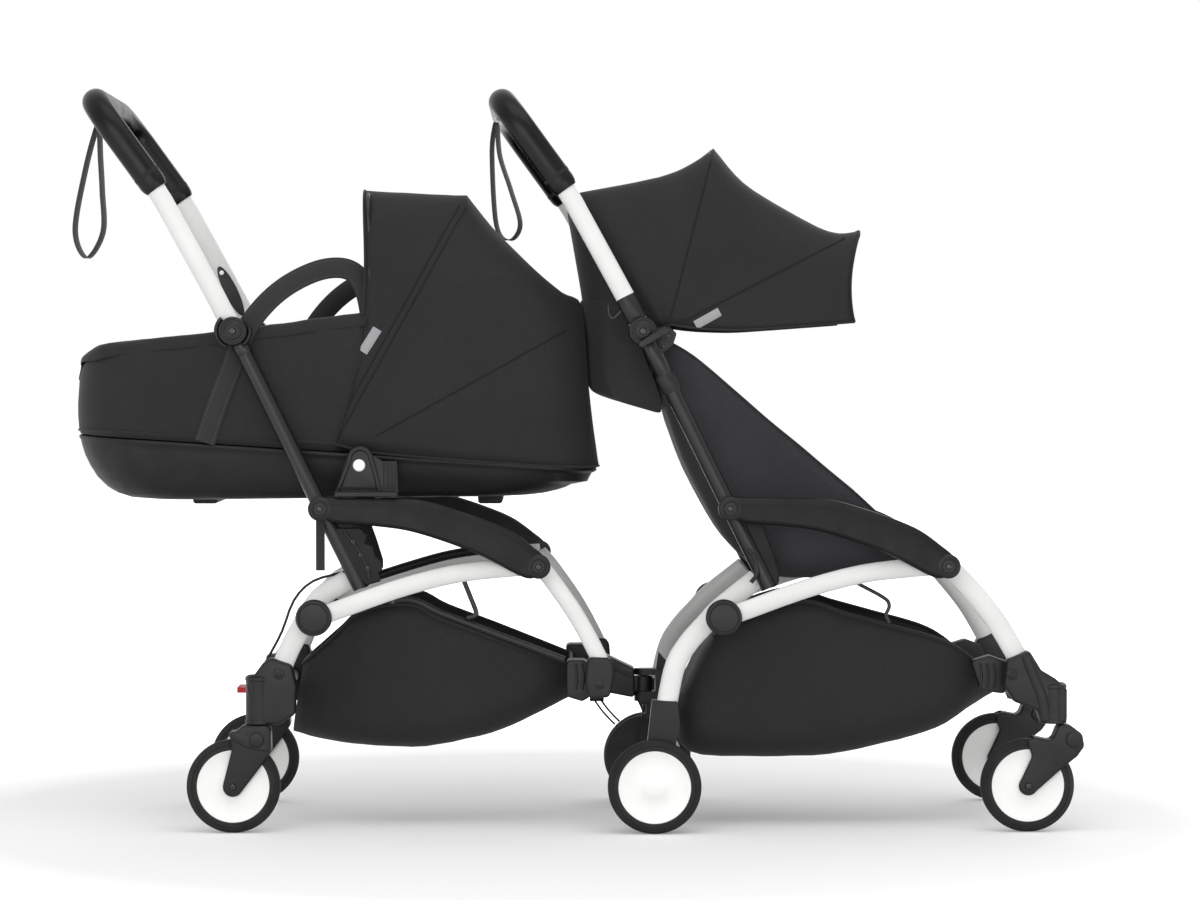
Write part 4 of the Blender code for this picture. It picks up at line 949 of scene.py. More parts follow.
def armrest(unit, label, s):
    """The curved side blade: a crowned face with a ridge 9 mm under its top edge."""
    shift, body = SHIFT[unit], f"{unit}_chassis"
    top = [(0.207, 0.4674), (0.224, 0.4668), (0.3, 0.465), (0.358, 0.461), (0.456, 0.428), (0.503, 0.397)]
    bottom = [(0.214, 0.4366), (0.23, 0.4312), (0.282, 0.427), (0.339, 0.418), (0.42, 0.39), (0.486, 0.357)]
    top = even(smooth([*top, (0.517, 0.385)]), 52)
    bottom = even(smooth([*bottom, (0.504, 0.3552)]), 52)
    rings = []
    for high, low in zip(top, bottom):
        rise = high - low
        tall = rise.length
        profile = [(0, -0.007), (0, 0.004), (0.0018, 0.0082), (0.005, 0.01), (tall - 0.0105, 0.01)]
        profile += [(tall - 0.009, 0.0094), (tall - 0.003, 0.0052), (tall - 0.0006, 0.0036), (tall, 0.0015)]
        profile += [(tall, -0.007), (tall - 0.002, -0.0097), (0.002, -0.0097)]
        ring = []
        for height, out in profile:
            place = low + rise / tall * height
            ring.append(Vector((place[0] + shift, s * (ARMREST_Y + out), place[1])))
        rings.append(ring)
    loft(f"{unit}_side_blade_{label}", rings, BLADE_NYLON, body, f"{unit}_armrest_{label}", sharp=24)
    dome = [(0.0168, -0.02), (0.0168, -0.0016), (0.015, 0.0004), (0.0112, 0.0014), (0.0102, 0.0006)]
    dome += [(0.0092, 0.0006), (0.0082, 0.0018), (0, 0.0024)]
    face = ARMREST_Y + 0.01
    for spot, (x, z) in (("hip", HIP), ("front", FRONT_PIVOT)):
        centre = (x + shift, s * face, z)
        turned(f"{unit}_{spot}_boss_{label}", dome, centre, (0, s, 0), BLACK_NYLON, body)
        head = (centre[0], centre[1] + s * 0.0018, z)
        bolt(f"{unit}_{spot}_bolt_{label}", head, (0, s, 0), 0.0044, body)


def rail_lane(x):
    """The side rail's lane: it runs inward from the rear pivot to the front one."""
    share = (x - REAR_PIVOT[0]) / (FRONT_PIVOT[0] - REAR_PIVOT[0])
    return REAR_PIVOT_Y + (ARM_Y - REAR_PIVOT_Y) * share


def side_rail(unit, label, s):
    """The white rail under the armrest, and the round cover of the rear pivot."""
    shift, body = SHIFT[unit], f"{unit}_chassis"
    line = [REAR_PIVOT, (0.224, 0.308), (0.315, 0.34), (0.394, 0.36), (0.465, 0.368), FRONT_PIVOT]
    route = [(x + shift, s * rail_lane(x), z) for x, z in smooth(line)]
    node = f"{unit}_side_rail_{label}"
    swept(f"{unit}_rail_tube_{label}", route, RAIL_TUBE, WHITE_COAT, body, node, sides=28)
    rim = [(0.0245, -0.01), (0.025, -0.008), (0.025, 0.0085), (0.0236, 0.0106), (0.0216, 0.011)]
    rim += [(0.0208, 0.01), (0.0196, 0.01), (0.0188, 0.0112), (0.012, 0.0122), (0, 0.0126)]
    centre = (REAR_PIVOT[0] + shift, s * 0.21, REAR_PIVOT[1])
    turned(f"{unit}_pivot_cover_{label}", rim, centre, (0, s, 0), BLACK_NYLON, body)


# Each leg's line, and its tube's share of the full size: the rear unit's fore legs are slimmer
LEGS = {
    ("seat", "hind"): (
        [(0.245, 0.351), (0.195, 0.311), (0.174, 0.289), (0.149, 0.261), (0.131, 0.229), (0.118, 0.17)], 1.0
    ),
    ("cot", "hind"): ([(0.242, 0.35), (0.203, 0.324), (0.175, 0.279), (0.158, 0.245), (0.146, 0.212)], 1.0),
    ("seat", "fore"): ([FRONT_PIVOT, (0.536, 0.346), (0.579, 0.293), (0.616, 0.23)], 1.0),
    ("cot", "fore"): ([FRONT_PIVOT, (0.5265, 0.351), (0.562, 0.3), (0.5905, 0.2475), (0.599, 0.225)], 0.82),
}


def leg(unit, kind, label, s):
    """A white hind or fore leg, from the lane of its top to the lane of its foot."""
    line, share = LEGS[unit, kind]
    top, foot = line[0][1], line[-1][1]
    route = []
    for x, z in smooth(line):
        lane = LEG_TOP_Y + (LEG_FOOT_Y - LEG_TOP_Y) * (top - z) / (top - foot)
        route.append(Vector((x + SHIFT[unit], s * lane, z)))
    name, node = f"{unit}_{kind}_leg_tube_{label}", f"{unit}_{kind}_leg_{label}"
    size = (LEG_TUBE[0] * share, LEG_TUBE[1] * share)
    swept(name, route, size, WHITE_COAT, f"{unit}_chassis", node, sides=28)


def chassis(unit):
    """Everything that both units' frames share."""
    handle(unit)
    for label, s in SIDES.items():
        fold_lock(unit, label, s)
        back_post(unit, label, s)
        armrest(unit, label, s)
        side_rail(unit, label, s)
        for kind in ("hind", "fore"):
            leg(unit, kind, label, s)


def wheel(node, body, x, y):
    """A foamed tyre with chamfered shoulders on a plain white disc."""
    half = WHEEL_HALF
    rim = WHEEL_R - 0.0145
    tread = [(rim, 0.002 - half), (rim + 0.0012, -half), (rim + 0.0058, -half), (rim + 0.0062, 0.0007 - half)]
    tread += [(rim + 0.007, 0.0007 - half), (rim + 0.0074, -half), (WHEEL_R - 0.0062, -half)]
    tread += [(WHEEL_R - 0.0055, 0.0008 - half), (WHEEL_R - 0.0012, 0.005 - half)]
    tread += [(WHEEL_R - 0.0002, 0.0066 - half), (WHEEL_R, 0.0074 - half)]
    tread += [(radius, -offset) for radius, offset in tread[::-1]]
    tread += [(rim - 0.0004, half - 0.004), (rim - 0.0004, 0.004 - half)]
    centre = (x, y, WHEEL_R)
    turned(f"{node}_tyre", tread, centre, (0, 1, 0), TYRE, body, node, 96, True)
    face = half - 0.0035
    disc = [(0.0056, -face - 0.0012), (0.015, -face - 0.0012), (0.0175, -face), (rim - 0.0045, -face)]
    disc += [(rim - 0.003, -face - 0.001), (rim - 0.0002, -face - 0.001)]
    disc += [(radius, -offset) for radius, offset in disc[::-1]]
    turned(f"{node}_disc", disc, centre, (0, 1, 0), WHITE_DISC, body, None, 96, True)


def wheels():
    """Four caster wheels with their axle bolts, and the front unit's two rear wheels with their hub caps."""
    cap = [(0.0145, -0.0014), (0.0145, 0.0008), (0.0132, 0.0014), (0, 0.0016)]
    for label, s in SIDES.items():
        for unit, x in WHEEL_X.items():
            body = f"{unit}_caster_roller_{label}"
            wheel(f"{unit}_caster_wheel_{label}", body, x + SHIFT[unit], s * CASTER_Y)
            for face in (-1, 1):
                spot = (x + SHIFT[unit], s * CASTER_Y + face * AXLE_END, WHEEL_R)
                name = f"{unit}_axle_bolt_{label}_{'inner' if face != s else 'outer'}"
                bolt(name, spot, (0, face, 0), 0.005, f"{unit}_caster_{label}")
        body = f"seat_rear_roller_{label}"
        wheel(f"seat_rear_wheel_{label}", body, SEAT_REAR_WHEEL_X + SEAT_X, s * REAR_WHEEL_Y)
        hub = (SEAT_REAR_WHEEL_X + SEAT_X, s * (REAR_WHEEL_Y + 0.0107), WHEEL_R)
        turned(f"seat_rear_hub_cap_{label}", cap, hub, (0, s, 0), WHITE_DISC, body)


FORKS = {
    "seat": [
        *[(0.664, 0.15), (0.68, 0.15), (0.697, 0.137), (0.7, 0.12), (0.69, 0.106), (0.672, 0.092)],
        *arc((WHEEL_X["seat"], WHEEL_R), 0.0135, -35, -190, 10),
        *[(0.627, 0.106), (0.619, 0.129), (0.632, 0.133), (0.655, 0.128)],
    ],
    "cot": [
        *[(0.083, 0.138), (0.1, 0.1505), (0.137, 0.1505), (0.138, 0.114), (0.126, 0.096)],
        *arc((WHEEL_X["cot"], WHEEL_R), 0.014, -40, -190, 10),
        (0.083, 0.114),
    ],
}
# The boss on each fork's face, as (X, Z, radius)
BOSSES = {"seat": (0.6855, 0.13, 0.012), "cot": (0.118, 0.13, 0.0105)}
LEG_SOCKETS = {
    "seat": [
        *[(0.592, 0.24), (0.623, 0.254), (0.64, 0.226), (0.66, 0.214), (0.676, 0.2), (0.676, 0.152)],
        *[(0.64, 0.152), (0.634, 0.17), (0.602, 0.182), (0.588, 0.204)],
    ],
    "cot": [
        *[(0.104, 0.206), (0.11, 0.214), (0.126, 0.236), (0.137, 0.244), (0.166, 0.234), (0.173, 0.205)],
        *[(0.171, 0.165), (0.15, 0.151), (0.112, 0.152)],
    ],
}
SOCKET_SCREWS = {"seat": (0.5985, 0.2206), "cot": (0.149, 0.2225)}
HOUSING_TOP = {"seat": 0.208, "cot": 0.2195}


def caster_fork(unit, label, s):
    """A moulded fork: its two arms hold the axle, and the crown over the wheel turns in the housing."""
    shift, body = SHIFT[unit], f"{unit}_caster_{label}"
    y = s * CASTER_Y
    node = f"{unit}_caster_fork_{label}"
    over_wheel(f"{unit}_fork_{label}", FORKS[unit], 0.009, (FORK_WIDTH, 0.0035), unit, label, node)
    pin = [(0.005, -FORK_WIDTH / 2), (0.005, FORK_WIDTH / 2)]
    centre = (WHEEL_X[unit] + shift, y, WHEEL_R)
    turned(f"{unit}_axle_{label}", pin, centre, (0, 1, 0), STEEL, body, steps=24)
    x, z, radius = BOSSES[unit]
    cap = [(radius, -0.004), (radius, 0.001), (radius * 0.88, 0.0026), (radius * 0.45, 0.0034), (0, 0.0036)]
    for name, face in (("outer", s), ("inner", -s)):
        spot = (x + shift, y + face * FORK_WIDTH / 2, z)
        turned(f"{unit}_fork_boss_{name}_{label}", cap, spot, (0, face, 0), BLACK_NYLON, body, steps=32)


def caster_housing(unit, label, s):
    """The housing of the fork's stem, and the moulded socket of the leg beside it with its screw."""
    shift, body = SHIFT[unit], f"{unit}_chassis"
    moulding(f"{unit}_leg_socket_{label}", LEG_SOCKETS[unit], 0.007, s * 0.19, (0.032, 0.0045), body, shift)
    top = HOUSING_TOP[unit]
    barrel = [(0.015, 0.151), (0.019, 0.1522), (0.019, 0.157), (0.018, 0.158), (0.018, top - 0.008)]
    barrel += [(0.019, top - 0.007), (0.0188, top - 0.003), (0.015, top), (0, top + 0.001)]
    foot = (SWIVEL_X[unit] + shift, s * CASTER_Y, 0)
    turned(f"{unit}_stem_housing_{label}", barrel, foot, (0, 0, 1), BLACK_NYLON, body, steps=40)
    x, z = SOCKET_SCREWS[unit]
    dome = [(0.008, -0.004), (0.008, 0.0012), (0.0066, 0.0024), (0.003, 0.0028)]
    dome += [(0.0026, 0.0018), (0, 0.0018)]
    spot = (x + shift, s * 0.206, z)
    turned(f"{unit}_socket_screw_{label}", dome, spot, (0, s, 0), BLACK_NYLON, body, steps=28)


def cross_tube(name, node, unit, x, z, radius):
    """The moulded tube that joins both sides."""
    half = 0.18
    route = [(x + SHIFT[unit], y * half, z) for y in (-1, -0.5, 0, 0.5, 1)]
    swept(name, route, (2 * radius, 2 * radius), BLACK_NYLON, f"{unit}_chassis", node)


def casters():
    """Both units' casters, with a long soft rib down the front socket and a wedge across the rear fork."""
    cross_tube("seat_front_cross_tube", "seat_front_crossmember", "seat", 0.625, 0.203, 0.011)
    cross_tube("cot_rear_cross_tube", "cot_rear_crossmember", "cot", 0.14, 0.19, 0.012)
    ridge = [(0.618, 0.246), (0.63, 0.215), (0.64, 0.19), (0.645, 0.165)]
    wedge = [(0.079, 0.141), (0.104, 0.143), (0.136, 0.1205), (0.134, 0.112), (0.104, 0.118), (0.082, 0.131)]
    for label, s in SIDES.items():
        for unit in SHIFT:
            caster_fork(unit, label, s)
            caster_housing(unit, label, s)
        size = (0.016, 0.009)
        wire(f"seat_socket_rib_{label}", ridge, s * 0.204, SEAT_X, size, "seat_chassis", sides=20)
        over_wheel(f"cot_fork_flange_{label}", wedge, 0.004, (0.039, 0.003), "cot", label)


def hitch():
    """The rear unit's front cross tube: leg sockets, the boxed tongue with its ribs, and the pin's eye."""
    body = "cot_chassis"
    cross_tube("hitch_cross_tube", "hitch_beam", "cot", 0.586, 0.2, 0.014)
    socket = [(0.577, 0.244), (0.608, 0.243), (0.613, 0.234), (0.614, 0.22), (0.608, 0.188)]
    socket += [(0.58, 0.186), (0.574, 0.208)]
    dome = [(0.007, -0.004), (0.007, 0.001), (0.005, 0.0022), (0, 0.0026)]
    ridge = [(0.596, 0.221), (0.612, 0.216), (0.642, 0.203)]
    for label, s in SIDES.items():
        moulding(f"hitch_leg_socket_{label}", socket, 0.008, s * 0.186, (0.026, 0.004), body, COT_X)
        spot = (0.594 + COT_X, s * 0.1988, 0.207)
        turned(f"hitch_socket_screw_{label}", dome, spot, (0, s, 0), BLACK_NYLON, body, steps=28)
        wire(f"hitch_tongue_rib_{label}", ridge, s * 0.0232, COT_X, (0.005, 0.003), body)
    tongue = [(0.58, 0.218), (0.604, 0.234), (0.646, 0.214), (0.646, 0.172), (0.604, 0.18), (0.58, 0.184)]
    moulding("hitch_tongue", tongue, 0.005, 0, (0.046, 0.003), body, COT_X)
    low, high = 0.18, 0.202
    neck = [(0.642, low), (0.642, high), (0.652, high), (0.652, low)]
    moulding("hitch_neck", neck, 0, 0, (0.02, 0.0015), body, COT_X)
    ring = [(0.0056, low), (0.0118, low), (0.013, low + 0.0015), (0.013, high - 0.0015), (0.0118, high)]
    ring += [(0.0056, high)]
    pin = (HITCH_PIN_X + UNIT_PITCH + COT_X, 0, 0)
    turned("hitch_eye", ring, pin, (0, 0, 1), BLACK_NYLON, body, steps=40, hollow=True)


def wheel_guards():
    """Black shields inside the front unit's rear wheels: they cover the brake and the back of each disc."""
    hub = (SEAT_REAR_WHEEL_X, WHEEL_R)
    outline = arc(hub, 0.063, 62, 222, 24) + arc(hub, 0.016, 222, 62, 12)
    for label, s in SIDES.items():
        size = (0.006, 0.0015)
        moulding(f"seat_wheel_guard_{label}", outline, 0, s * 0.1925, size, "seat_chassis", SEAT_X)


def cradle_details():
    """On each clip: the raised rim, the white button, two ledge lines and the ribbed block beside it."""
    body = "cot_chassis"
    line = [(-0.3385, 0.474), (-0.3325, 0.49), (-0.3225, 0.517)]
    line += arc((-0.307, 0.519), 0.015, 165, 15, 10)
    line += [(-0.286, 0.5), (-0.28, 0.474)]
    dome = [(0.0084, -0.002), (0.0084, 0.0008), (0.0072, 0.0018), (0, 0.0022)]
    for label, s in SIDES.items():
        face = s * 0.1842
        swept(f"cradle_rim_{label}", side(line, face, SEAT_X), (0.0072, 0.0056), BLACK_NYLON, body, sides=16)
        spot = (-0.3085 + SEAT_X, face, 0.5105)
        turned(f"cradle_button_{label}", dome, spot, (0, s, 0), WHITE_DISC, body, steps=32)
        for i, (first, last, z) in enumerate(((-0.339, -0.281, 0.479), (-0.342, -0.258, 0.4735))):
            route = [(x + SEAT_X, s * (0.185 + 0.012 * i), z) for x in (first, (first + last) / 2, last)]
            swept(f"cradle_ledge_{i}_{label}", route, (0.0034, 0.008), BLACK_NYLON, body, sides=12)
        for i in range(4):
            x = -0.2735 + 0.0052 * i
            route = [(x + SEAT_X, face, z) for z in (0.478, 0.496, 0.514)]
            swept(f"cradle_rib_{i}_{label}", route, (0.0026, 0.0022), BLACK_NYLON, body, sides=10)


# Soft goods of the front unit

CANOPY = [
    ((0.098, 0.701), (-0.01, 0.89), 0.14),
    ((0.112, 0.702), (0.002, 0.896), 0.158),
    ((0.118, 0.704), (0.062, 0.908), 0.161),
    ((0.126, 0.706), (0.123, 0.922), 0.163),
    ((0.14, 0.704), (0.16, 0.938), 0.164),
    ((0.155, 0.702), (0.187, 0.955), 0.165),
    ((0.18, 0.7), (0.23, 0.909), 0.163),
    ((0.225, 0.699), (0.291, 0.872), 0.162),
    ((0.275, 0.702), (0.336, 0.848), 0.163),
    ((0.33, 0.706), (0.364, 0.838), 0.164),
    ((0.384, 0.71), (0.392, 0.839), 0.165),
]


def middle_bow(name, foot, tip, half):
    """A thin tube in the casing: up one side, across under the cloth and down the other."""
    route = fillet([*side([foot, tip], -half, SEAT_X), *side([tip, foot], half, SEAT_X)], [0.045, 0.045])
    return swept(name, even(route, 80), (0.0055, 0.0055), BLACK_COAT, sides=12)


def sewn_on(cloth, prefix, grid, seams, count, reach, ends):
    """Seams thrown onto a casing from both sides, and piping along its free ends and its two hems."""
    found = []
    for label, s in SIDES.items():
        for name, start, stop in seams:
            line = [start.lerp(stop, reach[0] + reach[1] * i / count) for i in range(count + 1)]
            points = side(line, 0, SEAT_X)
            full_name = f"{prefix}_{name}_seam_{label}"
            found.append(tape_on(full_name, cloth, points, (0, -s, 0), (0.0021, 0.001), SEAM))
    for name, ring in ends.items():
        found.append(piping(f"{prefix}_{name}_piping", ring))
    for label, spot in (("right", 0), ("left", -1)):
        found.append(piping(f"{prefix}_hem_{label}", [ring[spot] for ring in grid]))
    return found


def canopy():
    """Cloth over three bows. It and what is sewn to it turn with the front bow, less and less to the rear."""
    grid = cloth_grid(stations_between(CANOPY, 4, (5,)), 0.05, (12, 6, 16), 0.0035, 0.0009, SEAT_X)
    # The free side edges of the front are cut to a shallow hollow
    for i, ring in enumerate(grid[-9:]):
        for p in ring:
            p.x -= 0.0105 * (i / 8) ** 2 * math.sin(math.pi * share_of(p.z, 0.708, 0.833)) ** 0.7
    cloth = cloth_over("canopy_cloth", grid, HOOD_CLOTH, 0.0012, None, "canopy_fabric")
    tag = side([(0.16, 0.7055), (0.178, 0.7155), (0.194, 0.7245)], 0, SEAT_X)
    label_tape = tape_on("canopy_side_tag", cloth, tag, (0, 1, 0), (0.0125, 0.0012), TAG_GREY)
    bow = middle_bow("canopy_middle_bow", (0.121, 0.699), (0.1835, 0.95), 0.157)
    foot = Vector((0.121, 0.699))
    seams = [("middle", foot, Vector((0.187, 0.955))), ("front", foot, Vector((0.392, 0.839)))]
    ends = {"front": grid[-1], "rear": grid[0]}
    start, end = (CANOPY_PIVOT_X + SEAT_X - 0.06, 0, 0.86), (0.392 + SEAT_X, 0, 0.8)
    for obj in (cloth, label_tape, bow, *sewn_on(cloth, "canopy", grid, seams, 30, (0.06, 0.86), ends)):
        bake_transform(obj, "seat_chassis", "canopy", start, end)


SLING = [
    ((0.116, 0.686), (0.099, 0.676), 0.151),
    ((0.158, 0.661), (0.115, 0.605), 0.152),
    ((0.215, 0.613), (0.138, 0.53), 0.153),
    ((0.262, 0.572), (0.168, 0.465), 0.153),
    ((0.305, 0.537), (0.207, 0.4), 0.153),
    ((0.345, 0.503), (0.258, 0.357), 0.153),
    ((0.385, 0.47), (0.32, 0.35), 0.153),
    ((0.42, 0.438), (0.39, 0.357), 0.153),
    ((0.446, 0.42), (0.444, 0.372), 0.153),
]


def sling():
    """The seat's cloth between the back posts, bound along both side edges."""
    grid = cloth_grid(stations_between(SLING, 4), 0.035, (8, 5, 14), 0.002, 0.0012, SEAT_X)
    cloth = cloth_over("seat_sling_cloth", grid, SEAT_CLOTH, 0.003, "seat_chassis", "seat_sling", offset=0)
    for label, spot in (("right", 0), ("left", -1)):
        piping(f"seat_sling_binding_{label}", [ring[spot] for ring in grid], "seat_chassis", 0.0022)


SEAT_PAD = [(0.124, 0.664), (0.137, 0.604), (0.163, 0.534), (0.197, 0.47), (0.236, 0.414)]
SEAT_PAD += [(0.276, 0.389), (0.33, 0.381), (0.39, 0.384), (0.432, 0.392)]
PAD_STEPS = 36
INTO_SEAT = (-0.6, 0, -0.8)


def seat_pad():
    """The quilted pad on the sling's back and seat: three sewn channels, filled by simulation."""
    line = even(smooth(SEAT_PAD), PAD_STEPS)
    rings = []
    for i, point in enumerate(line):
        run = (line[min(i + 1, PAD_STEPS)] - line[max(i - 1, 0)]).normalized()
        up = Vector((-run.y, run.x)) if run.x > 0 else Vector((run.y, -run.x))
        up = up if up.dot(Vector((0.6, 0.8))) > 0 else -up
        end = min(i, PAD_STEPS - i) / PAD_STEPS
        half = 0.118 * min(1, 0.82 + end * 6 * 0.18)
        ring = []
        for k in range(24):
            angle = math.tau * k / 24
            y = half * math.copysign(abs(math.cos(angle)) ** 0.55, math.cos(angle))
            lift = 0.0075 * math.copysign(abs(math.sin(angle)) ** 0.7, math.sin(angle))
            lift *= 0.55 + 0.45 * min(1, end * 14)
            place = point + up * (lift + 0.002)
            ring.append(Vector((place.x + SEAT_X, y, place.y)))
        rings.append(ring)
    pad = loft("seat_liner_pad", rings, SEAT_CLOTH, sharp=60)
    settled(pad, 0.005)
    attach(pad, "seat_chassis")
    for i, y in enumerate((-0.045, 0.045)):
        points = side(line[3:34], y, SEAT_X)
        tape_on(f"seat_liner_seam_{i}", pad, points, INTO_SEAT, (0.0024, 0.0008), PIPING, "seat_chassis")
    return pad, line


def harness(pad, line):
    """Five webbing straps meet at the buckle: two for the shoulders, two for the waist and a crotch strap."""
    body, strap_size = "seat_chassis", (0.022, 0.0024)
    for label, s in SIDES.items():
        points = [Vector((p.x + SEAT_X, s * (0.052 - 0.02 * i / 17), p.y)) for i, p in enumerate(line[2:20])]
        tape_on(f"harness_shoulder_{label}", pad, points, INTO_SEAT, strap_size, STRAP_BLACK, body)
        padded = (0.038, 0.007)
        tape_on(f"harness_shoulder_pad_{label}", pad, points[1:9], INTO_SEAT, padded, SEAT_CLOTH, body)
        points = []
        for i in range(13):
            place = line[22].lerp(line[18], i / 12)
            points.append(Vector((place.x + SEAT_X, s * (0.112 - 0.094 * i / 12), place.y)))
        tape_on(f"harness_waist_{label}", pad, points, INTO_SEAT, strap_size, STRAP_BLACK, body)
    points = side(line[18:29], 0, SEAT_X)
    tape_on("harness_crotch", pad, points, INTO_SEAT, (0.026, 0.0026), STRAP_BLACK, body)
    (place, out), = thrown(pad, side([line[19]], 0, SEAT_X), INTO_SEAT, 0.001)
    shell = [(0.024, 0), (0.025, 0.003), (0.025, 0.007), (0.0225, 0.01), (0.012, 0.0116), (0, 0.012)]
    turned("harness_buckle", shell, place, out, BLACK_NYLON, body, steps=40)
    knob = [(0.0095, 0), (0.0095, 0.0016), (0.0075, 0.003), (0, 0.0034)]
    turned("harness_button", knob, place + out * 0.0112, out, RED_NYLON, body, steps=32)


def front_roll():
    """The padded roll at the front of the seat, filled by simulation."""
    middle = Vector((0.48, 0.379))
    swells = [(0.0, 1.0), (0.045, 0.99), (0.09, 0.96), (0.12, 0.9), (0.138, 0.8), (0.147, 0.6)]
    swells.append((0.15, 0.36))
    sections = []
    for y, swell in [(-y, swell) for y, swell in swells[:0:-1]] + swells:
        ring = []
        for i in range(20):
            angle = math.tau * i / 20
            reach = Vector((0.0245 * math.cos(angle), 0.029 * math.sin(angle))) * swell
            ring.append(Vector((middle.x + reach.x + SEAT_X, y, middle.y + reach.y)))
        sections.append(ring)
    roll = loft("seat_front_pad", sections, SEAT_CLOTH)
    settled(roll, 0.004)
    placed(roll, "seat_chassis", "seat_front_roll")


# Heights of the rear pocket, each with where its rear and its front lie
POCKET = [
    *[(0.61, 0.04, 0.104), (0.6115, 0.024, 0.111), (0.617, 0.014, 0.113), (0.636, 0.0085, 0.11)],
    *[(0.684, 0.0068, 0.084), (0.738, 0.0005, 0.06), (0.744, 0.003, 0.056), (0.81, -0.008, 0.03)],
    *[(0.868, -0.018, 0.004), (0.884, -0.018, -0.006)],
]


def rear_pocket():
    """The flat bag on the seat's back: its bottom slopes down to the front."""
    half = 0.142
    rings = []
    for z, rear, front in smooth(POCKET, 4):
        bow = min(0.03, (front - rear) * 0.6)
        fall = 0.29 * clamped((0.72 - z) / 0.09)
        across = [half * (i / 14 - 1) for i in range(29)]
        ring = [Vector((rear + bow * (y / half) ** 4 + SEAT_X, y, z)) for y in across]
        ring += [Vector((front + SEAT_X, y * 0.96, z)) for y in (half, half / 2, 0, -half / 2, -half)]
        for p in ring:
            p.z -= fall * max(0, p.x - SEAT_X - 0.014)
        rings.append(ring)
    loft("seat_back_bag", rings, BAG_CLOTH, "seat_chassis", "seat_rear_pocket", sharp=60)


# Per unit: the basket's stations, its flat area, its moulded front ends with their lanes, and its wire hook
BASKETS = {
    "seat": {
        "stations": [
            ((0.189, 0.268), (0.134, 0.156), 0.13),
            ((0.227, 0.294), (0.151, 0.1035), 0.146),
            ((0.308, 0.319), (0.257, 0.096), 0.15),
            ((0.37, 0.302), (0.35, 0.099), 0.15),
            ((0.432, 0.285), (0.432, 0.115), 0.15),
            ((0.503, 0.265), (0.503, 0.136), 0.148),
            ((0.54, 0.245), (0.545, 0.16), 0.14),
            ((0.572, 0.216), (0.583, 0.183), 0.116),
            ((0.592, 0.206), (0.596, 0.192), 0.09),
        ],
        "area": 0.3,
        "end": [(0.546, 0.236), (0.572, 0.244), (0.594, 0.236), (0.606, 0.208), (0.592, 0.19), (0.56, 0.194)],
        "lanes": (0.143, 0.169),
        "hook": [(0.388, 0.344), (0.4255, 0.3234), (0.4325, 0.312), (0.428, 0.2997), (0.4325, 0.2886)],
        "hook_width": 0.0052,
    },
    "cot": {
        "stations": [
            ((0.175, 0.227), (0.158, 0.126), 0.085),
            ((0.222, 0.268), (0.203, 0.118), 0.118),
            ((0.263, 0.306), (0.262, 0.113), 0.148),
            ((0.328, 0.315), (0.33, 0.11), 0.15),
            ((0.371, 0.295), (0.371, 0.114), 0.15),
            ((0.44, 0.269), (0.442, 0.129), 0.149),
            ((0.5, 0.246), (0.5, 0.153), 0.14),
            ((0.555, 0.226), (0.559, 0.181), 0.112),
        ],
        "area": 0.24,
        "end": [(0.548, 0.238), (0.572, 0.238), (0.586, 0.23), (0.586, 0.19), (0.57, 0.18), (0.548, 0.187)],
        "lanes": (0.128, 0.174),
        "hook": [(0.402, 0.354), (0.412, 0.329), (0.4215, 0.304), (0.4185, 0.2985), (0.4085, 0.296)],
        "hook_width": 0.0068,
    },
}


def basket(unit):
    """The cloth basket with its corded rim, the ribbed ends that tie it to the leg sockets, and its hook."""
    shift, body, shape = SHIFT[unit], f"{unit}_chassis", BASKETS[unit]
    rows = [(row, 0.5) for row, _ in stations_between(shape["stations"], 4)]
    grid = cloth_grid(rows, 0.045, (8, 6, 12), 0.0, 0.002, shift)
    name, node = f"{unit}_basket_cloth", f"{unit}_basket"
    bag = cloth_over(name, grid, BAG_CLOTH, 0.0014, body, node, (True, True))
    rim = [ring[0] for ring in grid] + [ring[-1] for ring in grid[::-1]]
    piping(f"{unit}_basket_rim", rim, body, 0.0028, True)
    inner, outer = shape["lanes"]
    for label, s in SIDES.items():
        middle, size = s * (inner + outer) / 2, (outer - inner, 0.003)
        moulding(f"{unit}_basket_end_{label}", shape["end"], 0.007, middle, size, body, shift)
        for i in range(3):
            x = shape["end"][0][0] + 0.0125 + 0.0095 * i
            line = [(x, 0.233), (x + 0.002, 0.215), (x, 0.197)]
            size = (0.0036, 0.003)
            wire(f"{unit}_basket_end_rib_{i}_{label}", line, s * outer, shift, size, body, sides=10)
    size = (shape["hook_width"], 0.0034)
    wire(f"{unit}_basket_hook", shape["hook"], -0.1535, shift, size, body, BLACK_COAT, 24)


def rear_unit_rails():
    """The rear unit's basket rail with its two clips, and the black cable cover along its far rail."""
    body = "cot_chassis"
    points = [(0.268, 0.315), (0.328, 0.3215), (0.371, 0.303), (0.44, 0.2765), (0.5, 0.254)]
    points += [(0.545, 0.237)]
    wire("cot_basket_rail", points, -0.15, COT_X, (0.0095, 0.0062), body, BLACK_COAT, 16)
    for i, (x, z) in enumerate(((0.284, 0.3195), (0.3, 0.3205))):
        line = [(x, z - 0.005), (x + 0.008, z - 0.005), (x + 0.008, z + 0.005), (x, z + 0.005)]
        moulding(f"cot_basket_clip_{i}", line, 0.002, -0.1545, (0.006, 0.0012), body, COT_X, DARK_STEEL)
    line = [(0.262, 0.333), (0.315, 0.35), (0.36, 0.363), (0.394, 0.37), (0.425, 0.374)]
    route = [(x + COT_X, rail_lane(x) - 0.003, z) for x, z in smooth(line)]
    swept("cot_rail_cable", route, (0.015, 0.015), BLACK_NYLON, body, sides=20)


# Carrycot, in the front unit's side view


